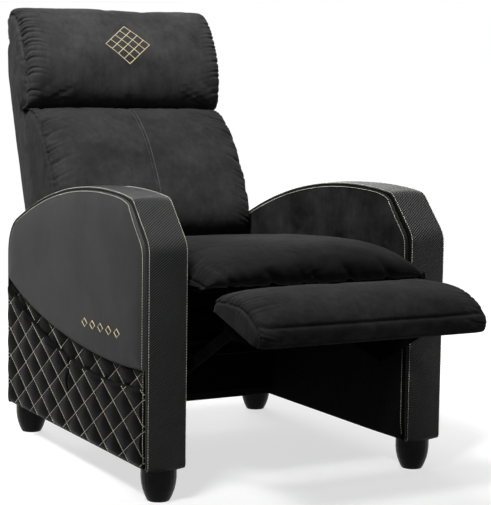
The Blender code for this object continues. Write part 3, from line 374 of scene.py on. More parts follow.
def colour(value):
    """A socket's colour. A single number is a grey."""
    return (*value, 1.0) if isinstance(value, tuple) else (value, value, value, 1.0)


def set_inputs(made, **values):
    for key, value in values.items():
        made.inputs[key.replace("_", " ")].default_value = value


def node(tree, kind, feeds=(), settings=(), **values):
    """A new shader node: the outputs that feed it, its settings and its inputs' values."""
    made = tree.nodes.new("ShaderNode" + kind)
    for key, value in dict(settings).items():
        setattr(made, key, value)
    set_inputs(made, **values)
    for key, source in dict(feeds).items():
        tree.links.new(source, made.inputs[key])
    return made


def new_material(name, roughness, metallic=0.0, specular=0.5):
    material = bpy.data.materials.new(name)
    material.use_nodes = True
    shader = material.node_tree.nodes["Principled BSDF"]
    set_inputs(shader, Roughness=roughness, Metallic=metallic, Specular_IOR_Level=specular)
    return material, material.node_tree, shader


def object_place(tree):
    """Object coordinates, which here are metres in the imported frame."""
    return node(tree, "TexCoord").outputs["Object"]


def noise(tree, scale, detail, roughness, stretch=(1.0, 1.0, 1.0)):
    mapping = node(tree, "Mapping", {"Vector": object_place(tree)}, Scale=stretch)
    feeds = {"Vector": mapping.outputs["Vector"]}
    return node(tree, "TexNoise", feeds, Scale=scale, Detail=detail, Roughness=roughness).outputs["Fac"]


def ramp(tree, source, *stops):
    """Colours over a value. A stop is a place and a colour."""
    made = node(tree, "ValToRGB", {"Fac": source})
    elements = made.color_ramp.elements
    while len(elements) < len(stops):
        elements.new(0.5)
    for element, (place, shade) in zip(elements, stops):
        element.position = place
        element.color = colour(shade)
    return made.outputs["Color"]


def paint(tree, shader, source, *stops):
    tree.links.new(ramp(tree, source, *stops), shader.inputs["Base Color"])


def mapped(tree, source, **values):
    return node(tree, "MapRange", {"Value": source}, **values).outputs["Result"]


def mixed(tree, settings, feeds, **values):
    return node(tree, "Mix", feeds, settings, **values).outputs["Result"]


def maths(tree, operation, first, second=0.0):
    """A math node's result. The second input is an output of another node or a number."""
    made = node(tree, "Math", {0: first}, {"operation": operation})
    if isinstance(second, float):
        made.inputs[1].default_value = second
    else:
        tree.links.new(second, made.inputs[1])
    return made.outputs["Value"]


def add_bump(tree, shader, height, strength, distance, before=None):
    feeds = {"Height": height}
    if before is not None:
        feeds["Normal"] = before
    made = node(tree, "Bump", feeds, Strength=strength, Distance=distance).outputs["Normal"]
    tree.links.new(made, shader.inputs["Normal"])
    return made


def velvet_material(name, dark, light, sheen=0.07, shade_heights=None):
    """Short black pile: brushed patches, fine mottling and a very fine nap.

    The last argument gives two heights: below the lower one the cloth is painted near black as painted shade
    under the seat, and above the higher one it keeps its own colour.
    """
    material, tree, shader = new_material(name, 0.85, specular=0.05)
    patches = noise(tree, 8.0, 6.0, 0.68, (1.0, 1.0, 1.5))
    shades = ramp(tree, patches, (0.34, dark), (0.50, (dark + light) / 2), (0.68, light))
    tone = ramp(tree, noise(tree, 70.0, 5.0, 0.70, (1.0, 1.0, 0.35)), (0.30, 0.50), (0.72, 1.0))
    multiply = {"data_type": "RGBA", "blend_type": "MULTIPLY"}
    shades = mixed(tree, multiply, {"A": shades, "B": tone}, Factor=0.75)
    # Painted shade: near black below the lower height, blending into the velvet's colour up to the higher one
    if shade_heights is not None:
        split = node(tree, "SeparateXYZ", {"Vector": object_place(tree)})
        height = mapped(tree, split.outputs["Z"], From_Min=shade_heights[0], From_Max=shade_heights[1])
        shades = mixed(tree, {"data_type": "RGBA"}, {"Factor": height, "B": shades}, A=colour(0.0015))
    tree.links.new(shades, shader.inputs["Base Color"])
    set_inputs(shader, Sheen_Weight=sheen, Sheen_Roughness=0.5, Sheen_Tint=colour((0.62, 0.62, 0.64)))
    crush = noise(tree, 26.0, 4.0, 0.62, (1.0, 1.0, 0.45))
    first = add_bump(tree, shader, crush, 0.55, PILE_CRUSH)
    add_bump(tree, shader, noise(tree, 700.0, 2.0, 0.7), 0.45, PILE_NAP, first)
    return material


def leather_material(name, dark, light, roughness, specular, grain_scale=420.0, grain=0.28):
    """Fine-grained leather with soft tonal change and small pores."""
    material, tree, shader = new_material(name, roughness, specular=specular)
    paint(tree, shader, noise(tree, 9.0, 3.0, 0.5), (0.35, dark), (0.68, light))
    polish = noise(tree, 30.0, 3.0, 0.6)
    polish = mapped(tree, polish, To_Min=roughness - 0.05, To_Max=roughness + 0.09)
    tree.links.new(polish, shader.inputs["Roughness"])
    to_edge = {"feature": "DISTANCE_TO_EDGE"}
    cells = node(tree, "TexVoronoi", {"Vector": object_place(tree)}, to_edge, Scale=grain_scale)
    pores = ramp(tree, cells.outputs["Distance"], (0.0, 0.0), (0.22, 1.0))
    first = add_bump(tree, shader, pores, grain, PORES)
    add_bump(tree, shader, noise(tree, 55.0, 2.0, 0.5), 0.12, CREASES, first)
    return material


def ribbed_material(name, width):
    """Dark leather with fine diagonal ribs. The map's U runs across the strip and V along it, in metres."""
    material, tree, shader = new_material(name, 0.34, specular=0.08)
    place = node(tree, "TexCoord").outputs["UV"]
    turn = node(tree, "Mapping", {"Vector": place}, Rotation=(0.0, 0.0, math.radians(-38.0)))
    ribs = []
    for direction, scale in (("Y", 76.0), ("X", 98.0)):
        bands = {"wave_type": "BANDS", "bands_direction": direction}
        wave = node(tree, "TexWave", {"Vector": turn.outputs["Vector"]}, bands, Scale=scale)
        ribs.append(wave.outputs["Fac"])
    blend = mixed(tree, {"data_type": "FLOAT"}, {"A": ribs[0], "B": ribs[1]}, Factor=0.28)
    shades = ramp(tree, blend, (0.24, 0.001), (0.74, 0.050))
    # Painted shade: the strip is painted nearly black beside its two seams, where it turns down into their
    # grooves
    across = node(tree, "SeparateXYZ", {"Vector": place}).outputs["X"]
    from_middle = maths(tree, "SUBTRACT", maths(tree, "ABSOLUTE", across), width / 2)
    low = width / 2 - STRIP_SEAM_SHADE
    away = maths(tree, "ABSOLUTE", from_middle)
    seam_shade = mapped(tree, away, From_Min=low, From_Max=low + SEAM_SHADE_FADE, To_Max=0.9)
    shades = mixed(tree, {"data_type": "RGBA"}, {"Factor": seam_shade, "A": shades}, B=colour(0.001))
    tree.links.new(shades, shader.inputs["Base Color"])
    add_bump(tree, shader, blend, 0.9, RIBS)
    return material


def thread_material(name, shade):
    material, tree, shader = new_material(name, 0.5, specular=0.4)
    dim = tuple(value * 0.7 for value in shade)
    paint(tree, shader, noise(tree, 1400.0, 1.0, 0.5), (0.35, dim), (0.65, shade))
    set_inputs(shader, Sheen_Weight=0.3)
    return material


def plain_material(name, dark, light, roughness, metallic=0.0, scale=60.0, grain=0.06, specular=0.3):
    material, tree, shader = new_material(name, roughness, metallic, specular)
    paint(tree, shader, noise(tree, scale, 3.0, 0.6), (0.35, dark), (0.65, light))
    add_bump(tree, shader, noise(tree, scale * 12, 2.0, 0.6), grain, GRAIN)
    return material


def wood_material(name):
    """Plywood with its grain along X, painted nearly black as painted shade under the seat, where the frame
    lies.
    """
    material, tree, shader = new_material(name, 0.6, specular=0.3)
    grain = noise(tree, 55.0, 5.0, 0.65, (0.06, 1.0, 1.0))
    paint(tree, shader, grain, (0.3, (0.010, 0.008, 0.006)), (0.7, (0.030, 0.022, 0.016)))
    add_bump(tree, shader, grain, 0.2, GRAIN)
    return material


VELVET = velvet_material("black velvet", 0.032, 0.060)
# Painted shade: darker copies of the one black velvet, for parts that the lamps light less: the lumbar under
# the headrest, the footrest, the seat between the arms and the arms' inner sides
LUMBAR_SHADED_VELVET = velvet_material("lumbar velvet, painted shade", 0.016, 0.034, 0.05)
FOOTREST_SHADED_VELVET = velvet_material("footrest velvet, painted shade", 0.013, 0.032, 0.03)
SEAT_SHADED_VELVET = velvet_material("seat velvet, painted shade", 0.0055, 0.016, 0.025)
INNER_SHADED_VELVET = velvet_material("inner velvet, painted shade", 0.003, 0.026, 0.01, INNER_SHADE_HEIGHTS)
SIDE_LEATHER = leather_material("smooth leather", 0.040, 0.050, 0.42, 0.03)
QUILT_LEATHER = leather_material(
    "quilted leather", (0.001, 0.001, 0.0009), (0.0045, 0.0044, 0.004), 0.36, 0.014, 360.0, 0.35
)
RIBBED = ribbed_material("ribbed leather", STRIP_RUN)
CREAM = thread_material("cream thread", (0.70, 0.68, 0.57))
GOLD = thread_material("gold thread", (0.78, 0.68, 0.40))
BLACK_THREAD = thread_material("black thread", (0.012, 0.012, 0.012))
PLASTIC = plain_material("foot plastic", 0.002, 0.004, 0.28, specular=0.08)
STEEL = plain_material("black steel", 0.001, 0.003, 0.75, specular=0.005)
BRIGHT = plain_material("spring steel", (0.28, 0.28, 0.30), (0.42, 0.42, 0.44), 0.32, 1.0)
UNDER_SEAT_SHADE_WOOD = wood_material("plywood, painted shade")
LINER_AND_SHADE = plain_material("liner cloth and painted shade", 0.002, 0.005, 0.95, 0.0, 200.0, 0.3, 0.03)


# Making meshes


def outward(mesh):
    """Turns a mesh's faces outwards and gives its points' normals."""
    bm = bmesh.new()
    bm.from_mesh(mesh)
    bm.normal_update()
    bmesh.ops.recalc_face_normals(bm, faces=bm.faces)
    bm.verts.ensure_lookup_table()
    normals = np.array([v.normal for v in bm.verts])
    bm.to_mesh(mesh)
    bm.free()
    return normals


def placed(name, data):
    """A new object in the scene."""
    obj = bpy.data.objects.new(name, data)
    bpy.context.scene.collection.objects.link(obj)
    return obj


def piece(name, verts, faces, body, material, replaces=(), sharp=0, uvs=None):
    """A mesh piece that rides on a body."""
    mesh = bpy.data.meshes.new(name)
    mesh.from_pydata([tuple(map(float, v)) for v in verts], [], [tuple(map(int, f)) for f in faces])
    if uvs is not None:
        layer = mesh.uv_layers.new(name="map")
        loops = np.zeros(len(mesh.loops), int)
        mesh.loops.foreach_get("vertex_index", loops)
        layer.data.foreach_set("uv", np.asarray(uvs, float)[loops].ravel())
    outward(mesh)
    mesh.shade_smooth()
    if sharp:
        mesh.set_sharp_from_angle(angle=math.radians(sharp))
    obj = placed(name, mesh)
    mesh.materials.append(material)
    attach(obj, body)
    if replaces:
        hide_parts(*replaces)
    return obj


def grid_faces(rows, columns, closed=False, start=0):
    """Quads of a grid of points stored row by row. In a closed grid each row is a ring."""
    made = []
    for i in range(rows - 1):
        for j in range(columns if closed else columns - 1):
            a = start + i * columns + j
            b = start + i * columns + (j + 1) % columns
            made.append((a, b, b + columns, a + columns))
    return made


def under_faces(rows, columns, start):
    """The quads of an inner grid, which face the other way."""
    return [tuple(reversed(face)) for face in grid_faces(rows, columns, start=start)]


def ring_faces(rows, columns):
    """Faces of a closed body made of rings, with its two ends."""
    faces = grid_faces(rows, columns, closed=True)
    faces.append(tuple(range(columns - 1, -1, -1)))
    faces.append(tuple((rows - 1) * columns + j for j in range(columns)))
    return faces


def sheet_faces(rows, columns):
    """Faces of a closed sheet: an outer grid, then an inner one, joined along their four edges."""
    start = rows * columns
    faces = grid_faces(rows, columns) + under_faces(rows, columns, start)
    edges = [(i * columns + j, (i + 1) * columns + j) for i in range(rows - 1) for j in (0, columns - 1)]
    edges += [(i * columns + j, i * columns + j + 1) for i in (0, rows - 1) for j in range(columns - 1)]
    return faces + [(a, b, start + b, start + a) for a, b in edges]


def world(points):
    """Points given from the arm's front plane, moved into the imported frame."""
    moved = np.array(points, float)
    moved[..., 1] += FRONT
    return moved


def rounded(corners, steps=FILLET_STEPS):
    """A closed outline whose corners (along, up, radius) are filleted where the radius isn't zero."""
    points = []
    for i, (y, z, radius) in enumerate(corners):
        here = Vector((y, z))
        if radius <= 0:
            points.append((y, z))
            continue
        before = (Vector(corners[i - 1][:2]) - here).normalized()
        after = (Vector(corners[(i + 1) % len(corners)][:2]) - here).normalized()
        half = before.angle(after) / 2
        centre = here + (before + after).normalized() * (radius / math.sin(half))
        start = here + before * (radius / math.tan(half)) - centre
        side = 1 if before.x * after.y - before.y * after.x < 0 else -1
        for k in range(steps + 1):
            turn = Matrix.Rotation(side * (math.pi - 2 * half) * k / steps, 2)
            points.append(tuple(centre + turn @ start))
    return np.array(points)


def run_of(line):
    """Distance along a line to each of its points."""
    return np.concatenate([[0.0], np.cumsum(np.linalg.norm(np.diff(line, axis=0), axis=1))])


def along(places, run, line):
    """Points of a line at some distances along it."""
    return np.stack([np.interp(places, run, line[:, k]) for k in range(line.shape[1])], axis=-1)


def resample(line, step):
    """An open line's points, evenly spaced."""
    line = np.asarray(line, float)
    run = run_of(line)
    count = max(2, round(run[-1] / step))
    return along(np.linspace(0.0, run[-1], count + 1), run, line)


def top_curve(y):
    return ARM_TOP - TOP_RADIUS + math.sqrt(TOP_RADIUS**2 - (y - ARM_TOP_BACK) ** 2)


def arm_path():
    """The arm's outline from its hem, up the front, over the top and down the rear, evenly spaced."""
    last = ARM_DEPTH - SHOULDER_RUN
    slope = -(last - ARM_TOP_BACK) / math.sqrt(TOP_RADIUS**2 - (last - ARM_TOP_BACK) ** 2)
    corners = [(0.0, ARM_BOTTOM, HEM_RADIUS), (ARM_DEPTH, ARM_BOTTOM, HEM_RADIUS)]
    corners.append((ARM_DEPTH, top_curve(last) + slope * SHOULDER_RUN, SHOULDER_RADIUS))
    for y in np.linspace(last, BROW_BACK + BROW_RUN, 40):
        corners.append((y, top_curve(y), 0.0))
    corners.append((BROW_BACK, top_curve(BROW_BACK), BROW_RADIUS))
    corners.append((0.0, KNEE_HEIGHT, KNEE_RADIUS))
    loop = rounded(corners)
    hem = FILLET_STEPS + 1
    outline = np.vstack([loop[hem:], loop[:hem]])[::-1]
    return resample(outline, PATH_STEP)


def inwards(path):
    """Unit normals of an arm path, pointing into the arm."""
    tangent = np.gradient(path, axis=0)
    tangent /= np.linalg.norm(tangent, axis=1)[:, None]
    return np.stack([tangent[:, 1], -tangent[:, 0]], axis=1)


def seam_depth(into):
    """Depth of the seam under the outline: deep along the front, shallow on top and behind."""
    ahead = ease(into[:, 0], *AHEAD_SHARES)
    behind = ease(-into[:, 0], *BEHIND_SHARES)
    depth = SEAM_TOP + (SEAM_FRONT - SEAM_TOP) * ahead - (SEAM_TOP - SEAM_REAR) * behind
    window = np.ones(SEAM_WINDOW) / SEAM_WINDOW
    return np.convolve(np.pad(depth, SEAM_WINDOW // 2, "edge"), window, "valid")


def softened(line, reach):
    """A running mean along an open line that keeps its straight ends."""
    padded = np.pad(line, ((reach, reach), (0, 0)), "reflect", reflect_type="odd")
    return sum(padded[k : k + len(line)] for k in range(2 * reach + 1)) / (2 * reach + 1)


PATH = arm_path()
PATH_IN = inwards(PATH)
PATH_INNER = softened(PATH + PATH_IN * seam_depth(PATH_IN)[:, None], SEAM_SOFTENING)
PATH_SEAM = ((PATH_INNER - PATH) * PATH_IN).sum(axis=1)
PATH_AHEAD = (PATH_SEAM - SEAM_REAR) / (SEAM_FRONT - SEAM_REAR)


def distance_to(line, points):
    """Least distance from each point to an open line, in the side view."""
    best = np.full(len(points), np.inf)
    for a, b in zip(line[:-1], line[1:]):
        run = b - a
        share = np.clip(((points - a) @ run) / max(run @ run, 1e-12), 0.0, 1.0)
        best = np.minimum(best, np.linalg.norm(points - a - share[:, None] * run, axis=1))
    return best


def strip_section():
    """Across the edge strip: (offset from the arm's middle, depth under the outline)."""
    side = [(ARM_HALF - VALLEY * drop, SEAM_FRONT * depth) for drop, depth in STRIP_SIDE_SHARES]
    for turn in [math.pi / 2 * k / 6 for k in range(7)]:
        side.append((ARM_HALF - STRIP_ROUND * (1 - math.cos(turn)), STRIP_ROUND * (1 - math.sin(turn))))
    flat = ARM_HALF - STRIP_ROUND
    crown = [(x, -STRIP_CROWN * (1 - (x / flat) ** 2)) for x in np.linspace(flat, -flat, 9)[1:-1]]
    return np.array(side + crown + [(-x, d) for x, d in side[::-1]])


def build_strip(side, name):
    """The ribbed strip round an arm's edge, with its map across and along the strip.

    It is a closed skin: an inner ring of points lies a cloth's thickness under the outer one.
    """
    section = strip_section()
    middle = side * ARM_MIDDLE
    across = run_of(section)
    half = section[:, 0].max()
    scale = np.where(section[:, 0] > 0, 1 + STRIP_WIDER / half, 1.0)
    narrow, shallow = STRIP_SKIN_SHARES
    verts, uvs, under = [], [], []
    for i, (point, into, seam) in enumerate(zip(PATH, PATH_IN, PATH_SEAM)):
        share = valley_depth(point[0]) / VALLEY
        for (offset, depth), run, wider in zip(section, across, scale):
            y, z = point + into * max(depth * seam / SEAM_FRONT + STRIP_SKIN, seam * shallow)
            under.append((middle + offset * narrow * side, y, z))
            y, z = point + into * (depth * seam / SEAM_FRONT if depth > 0 else depth)
            if depth > STRIP_ROUND:
                offset = math.copysign(half - (half - abs(offset)) * share, offset)
            verts.append((middle + offset * wider * side, y, z))
            uvs.append((run * -side, i * PATH_STEP))
    uvs += [(0.0, v) for _, v in uvs]
    faces = sheet_faces(len(PATH), len(section))
    return piece(
        f"{name}_edge_strip", world(verts + under), faces, "base", RIBBED,
        [f"{name}_edge_band"], 60, uvs,
    )


def ends_close(count, first_share):
    """Places from 0 to 1 that crowd towards both ends, starting with a step of about first_share."""
    t = np.linspace(0.0, 1.0, count)
    power = max(1.0, math.log(first_share * 2) / math.log(2.0 / (count - 1)))
    return np.where(t < 0.5, 0.5 * (2 * t) ** power, 1 - 0.5 * (2 - 2 * t) ** power)


def top_edge(y):
    """Height of the panels' top edge at a place along the arm."""
    line = PATH_INNER[PATH_INNER[:, 1] > KNEE_HEIGHT * UPPER_SHARE]
    rising = np.where(line[:, 0] < ARM_TOP_BACK, line[:, 1], -line[:, 1])
    order = np.lexsort((rising, np.round(line[:, 0], 5)))
    return np.interp(y, line[order, 0], line[order, 1])


def quilt_line(y):
    share = (y - QUILT_LOW_BACK) / (ARM_DEPTH - QUILT_LOW_BACK)
    return QUILT_LOW + QUILT_RISE * share**2 + END_LIFT * share**8


def mouth_line(y):
    share = (y - MOUTH_LOW_BACK) / (ARM_DEPTH - MOUTH_LOW_BACK)
    return QUILT_LOW - MOUTH_DROP + MOUTH_RISE * share**2 + END_LIFT * share**8


def flat_low(y):
    return np.full(np.shape(y), ARM_BOTTOM)


def rear_end(margin, lip):
    """Where a panel ends at the rear: at its seam, or folded over the edge strip."""
    return ARM_DEPTH - SEAM_REAR - margin if lip is None else ARM_DEPTH - lip


def slab(name, material, side, low, high, face, back, margin, replaces, columns, rows, lip=None):
    """A panel drawn over a region of the side view. face and back give distances from the middle plane."""
    front = SEAM_FRONT + margin
    y = front + (rear_end(margin, lip) - front) * ends_close(columns, COLUMN_SHARE)

    def layer(shares):
        yy = np.repeat(y[None, :], len(shares), axis=0)
        zz = low(y)[None, :] + shares[:, None] * (high(y) - low(y))[None, :]
        return np.stack([yy.ravel(), zz.ravel()], axis=1)

    points = layer(ends_close(rows, ROW_SHARE))
    skin = np.column_stack([side * face(points), points])
    behind = layer(np.linspace(0.0, 1.0, BACK_ROWS))
    depth = back(behind)
    if depth[0] < face(behind)[0]:
        depth = np.minimum(depth, face(behind) - HEM_THICKNESS)
    inner = np.column_stack([side * depth, behind])
    count = rows * columns
    faces = grid_faces(rows, columns) + under_faces(BACK_ROWS, columns, count)
    for row, twin in ((0, 0), (rows - 1, BACK_ROWS - 1)):
        for j in range(columns - 1):
            a, b = row * columns + j, count + twin * columns + j
            faces.append((a, b, b + 1, a + 1) if row else (a + 1, b + 1, b, a))
    for j in (0, columns - 1):
        outer = [i * columns + j for i in range(rows)]
        hidden = [count + i * columns + j for i in range(BACK_ROWS)]
        faces.append(tuple(outer + hidden[::-1]))
    return piece(name, world(np.vstack([skin, inner])), faces, "base", material, replaces, 50)


def lip_rise(y):
    """How far the quilting rises to pass over the edge strip at the arm's rear."""
    seam = ARM_DEPTH - SEAM_REAR
    return LIP_RISE * ease(y, seam - LIP_RUN[0], seam + LIP_RUN[1])


def from_border(points, low, high, margin=0.0, lip=None):
    """Distance of points from the border of a panel's region."""
    front = SEAM_FRONT + margin
    y = front + (rear_end(margin, lip) - front) * ends_close(BORDER_POINTS, BORDER_SHARE)
    upper = np.stack([y, high(y)], axis=1)
    lower = np.stack([y, low(y)], axis=1)
    return distance_to(np.vstack([lower, upper[::-1], lower[:1]]), points)


def rolled(distance, depth, reach):
    """How far a padded edge rolls down towards its seam."""
    share = np.clip(distance / reach, 0.0, 1.0)
    return -depth * (1 - np.sqrt(1 - (1 - share) ** 2))


def valley_depth(y):
    """Depth of the groove between the strip and a panel: deep at the arm's front, shallow further back."""
    return VALLEY * (VALLEY_REAR_SHARE + (1 - VALLEY_REAR_SHARE) * (1 - ease(y, *VALLEY_FADE)))


def smooth_face(points, low, high, base, height):
    edge = from_border(points, low, high)
    crown = height + rolled(edge, height, PANEL_CROWN_REACH)
    return base + rolled(edge, 1.0, PANEL_ROLL) * valley_depth(points[:, 0]) + crown


def quilted(points):
    """Height of the quilting's puffs, 0 on the diagonal stitch lines and 1 in a diamond's middle."""
    across = (points[:, 0] - DIAMOND_BACK) / DIAMOND_WIDTH
    up = (points[:, 1] - DIAMOND_UP) / DIAMOND_HEIGHT
    shape = np.abs(np.sin(math.pi * (across + up)) * np.sin(math.pi * (across - up)))
    soft = PUFF_SOFT_SHARE
    return (np.sqrt(shape + soft) - math.sqrt(soft)) / (math.sqrt(1 + soft) - math.sqrt(soft))


def quilt_face(points, low, high, base):
    edge = from_border(points, low, high, 0.0, REAR_LIP)
    soft = 1 + wave_of(QUILT_WAVE, *points.T, 1.3)
    face = base + PUFF * quilted(points) * soft * ease(edge, *QUILT_EDGE) + lip_rise(points[:, 0]) * 2.0
    return face + rolled(edge, *QUILT_ROLL)


def pocket_bow(points):
    """The pocket's mouth sags outwards between its seams."""
    y = points[:, 0]
    first = np.sin(math.pi * np.clip((y - SEAM_FRONT) / (DIVIDER_BACK - SEAM_FRONT), 0, 1))
    second = np.sin(math.pi * np.clip((y - DIVIDER_BACK) / (ARM_DEPTH - DIVIDER_BACK), 0, 1))
    drop = mouth_line(y) - points[:, 1]
    return (POCKET_BOW[0] * first + POCKET_BOW[1] * second) * np.exp(-drop / POCKET_BOW_REACH)


def pocket_face(points):
    y, z = points.T
    edge = from_border(points, flat_low, mouth_line, POCKET_MARGIN, REAR_LIP)
    sides = np.minimum(y - SEAM_FRONT - POCKET_MARGIN, z - ARM_BOTTOM)
    face = POCKET_FACE + PUFF * quilted(points) * ease(edge, *POCKET_EDGE) + lip_rise(y)
    face = face + rolled(mouth_line(y) - z, *POCKET_MOUTH_ROLL) + rolled(sides, *POCKET_ROLL)
    face = face + rolled(ARM_DEPTH - REAR_LIP - y, *POCKET_REAR_ROLL)
    seam = bump(y, DIVIDER_BACK, DIVIDER_WIDTH) * ease(z, *DIVIDER_LOW)
    return face + pocket_bow(points) * ease(sides, 0, POCKET_BOW_FADE) - DIVIDER_SINK * seam


def unit(vector):
    return vector / max(np.linalg.norm(vector), 1e-9)


def add_stitches(name, runs, body, material, sizes=EDGE_STITCH):
    """Separate short stitches along runs, each of which is (points, outward normals)."""
    pitch, length, radius, lift = sizes
    verts, faces = [], []
    for line, normals in runs:
        run = run_of(line)
        for place in np.arange(pitch / 2, run[-1], pitch):
            ahead = along(min(place + STITCH_NUDGE, run[-1]), run, line)
            behind = along(max(place - STITCH_NUDGE, 0), run, line)
            way = unit(ahead - behind)
            out = along(place, run, normals)
            out = unit(out - way * (out @ way))
            side = np.cross(way, out)
            start = len(verts)
            centre = along(place, run, line) + out * lift
            verts.append(centre - way * length / 2 - out * radius * STITCH_END_SHARE)
            for shift in (-STITCH_BODY_SHARE, STITCH_BODY_SHARE):
                for dx, dz in ((1, 0), (0, 1), (-1, 0), (0, -1)):
                    verts.append(centre + way * length * shift + (side * dx + out * dz) * radius)
            verts.append(centre + way * length / 2 - out * radius * STITCH_END_SHARE)
            for k in range(4):
                n = (k + 1) % 4
                faces.append((start, start + 1 + n, start + 1 + k))
                faces.append((start + 1 + k, start + 1 + n, start + 5 + n, start + 5 + k))
                faces.append((start + 5 + k, start + 5 + n, start + 9))
    return piece(name, verts, faces, body, material)


def edge_runs(side, outer, face):
    """The strip's stitch line and the panel's, on an arm's outer or inner edge."""
    out = side if outer else -side
    most, less = STRIP_STITCH_TURNS
    turn = np.radians(most - less * np.clip(PATH_AHEAD * 3, 0, 1))
    wide = ARM_HALF + (STRIP_WIDER if outer else 0.0)
    x = side * ARM_MIDDLE + out * (wide - STRIP_ROUND * (1 - np.cos(turn)))
    depth = STRIP_ROUND * (1 - np.sin(turn)) * PATH_SEAM / SEAM_FRONT
    line = np.column_stack([x, PATH + PATH_IN * depth[:, None]])
    normals = np.column_stack([out * np.cos(turn), -PATH_IN * np.sin(turn)[:, None]])
    runs = [(world(line), normals)]
    inside = (PATH[:, 1] > ARM_BOTTOM + STITCH_START) & (PATH_IN[:, 0] > -0.5)
    inset = STITCH_INSET_TOP + (STITCH_INSET_FRONT - STITCH_INSET_TOP) * np.clip(PATH_AHEAD, 0, 1)
    rows = (PATH + PATH_IN * (PATH_SEAM + inset)[:, None])[inside]
    normals = np.tile([out, 0.0, 0.0], (len(rows), 1))
    runs.append((laid_flat(side, face, rows)[0] + normals * PANEL_STITCH_LIFT, normals))
    return runs


def laid_flat(side, face, line):
    """A line of the side view laid on an arm's surface: points and outward normals."""
    points = np.column_stack([side * face(line), line])
    return world(points), np.tile([side, 0.0, 0.0], (len(line), 1))


def lattice_runs(side, low, high, face, margin):
    """Stitch lines of the quilting over a region, laid on its surface."""
    runs = []
    above, below, ahead = LATTICE_SHORT
    y = np.linspace(SEAM_FRONT + margin, rear_end(margin, REAR_LIP + ahead), 260)
    slope = DIAMOND_HEIGHT / DIAMOND_WIDTH
    for direction in (-1, 1):
        for number in range(-12, 13):
            z = DIAMOND_UP + DIAMOND_HEIGHT * number - direction * slope * (y - DIAMOND_BACK)
            inside = (z > low(y) + above) & (z < high(y) - below)
            for part in np.split(np.arange(len(y)), np.where(np.diff(inside.astype(int)) != 0)[0] + 1):
                if len(part) >= 6 and inside[part[0]]:
                    runs.append(laid_flat(side, face, np.stack([y[part], z[part]], axis=1)))
    return runs


def mark_arm(side, name, face):
    """A short row of small gold lozenges sewn on an arm's smooth panel."""
    runs = []
    for number in range(MARK_COUNT):
        y = MARK_FIRST + number * MARK_PITCH
        corners = [(y - MARK_HALF, MARK_UP), (y, MARK_UP + MARK_RISE)]
        corners += [(y + MARK_HALF, MARK_UP), (y, MARK_UP - MARK_RISE)]
        for a, b in zip(corners, corners[1:] + corners[:1]):
            runs.append(laid_flat(side, face, resample(np.array([a, b]), SATIN_STEP)))
    add_stitches(f"{name}_lozenges", runs, "base", GOLD, SATIN_STITCH)


def build_arm(side, name):
    """An arm's edge strip, its four panels and their stitching."""
    core_out = OUTER_FACE - PANEL_SKIN

    def side_face(points):
        return smooth_face(points, quilt_line, top_edge, OUTER_FACE, PANEL_CROWN)

    def inner_face(points):
        return -smooth_face(points, flat_low, top_edge, -INNER_FACE, INNER_CROWN)

    def quilt_surface(points):
        return quilt_face(points, flat_low, quilt_line, QUILT_FACE)

    def side_or_quilt(points):
        above = points[:, 1] > quilt_line(points[:, 0])
        return np.where(above, side_face(points), OUTER_FACE)

    def quilt_low(y):
        return mouth_line(y) - QUILT_TUCK

    def quilt_back(points):
        return core_out + lip_rise(points[:, 0]) * (OUTER_FACE - core_out) / LIP_RISE

    def pocket_back(points):
        return POCKET_INSIDE + lip_rise(points[:, 0])

    build_strip(side, name)
    slab(
        f"{name}_side_cover", SIDE_LEATHER, side, quilt_line, top_edge, side_face,
        lambda p: np.full(len(p), core_out), 0.0, [f"{name}_side_panel"], 120, 70,
    )
    slab(
        f"{name}_quilt", QUILT_LEATHER, side, quilt_low, quilt_line, quilt_surface,
        quilt_back, 0.0, [f"{name}_quilted_panel"], 300, 44, REAR_LIP,
    )
    slab(
        f"{name}_pocket_pouch", QUILT_LEATHER, side, flat_low, mouth_line, pocket_face,
        pocket_back, POCKET_MARGIN, [f"{name}_pocket"], 300, 100, REAR_LIP,
    )
    # The inner cover takes velvet painted darker as shade, and near black low down
    velvet = slab(
        f"{name}_inner_cover", INNER_SHADED_VELVET, side, flat_low, top_edge, inner_face,
        lambda p: np.full(len(p), INNER_FACE + PANEL_SKIN), 0.0, [f"{name}_inner_panel"], 120, 90,
    )
    runs = edge_runs(side, True, side_or_quilt) + edge_runs(side, False, inner_face)
    add_stitches(f"{name}_edge_stitching", runs, "base", CREAM)
    mark_arm(side, name, side_face)
    runs = lattice_runs(side, lambda y: mouth_line(y) - BEHIND_MOUTH, quilt_line, quilt_surface, 0.0)
    runs += lattice_runs(side, flat_low, mouth_line, pocket_face, POCKET_MARGIN)
    add_stitches(f"{name}_quilt_stitching", runs, "base", CREAM, QUILT_STITCH)


# Cushions


def closed_curve(points, count):
    """A smooth closed curve through given points, evenly spaced (Catmull-Rom)."""
    p = np.asarray(points, float)
    dense = []
    for i in range(len(p)):
        a, b, c, d = (p[(i + k) % len(p)] for k in (-1, 0, 1, 2))
        for t in np.arange(0, 1, 0.05):
            square = (2 * a - 5 * b + 4 * c - d) * t**2
            cube = (3 * b - a - 3 * c + d) * t**3
            dense.append(0.5 * (2 * b + (c - a) * t + square + cube))
    dense = np.array(dense + [dense[0]])
    run = run_of(dense)
    return along(np.linspace(0.0, run[-1], count, endpoint=False), run, dense)


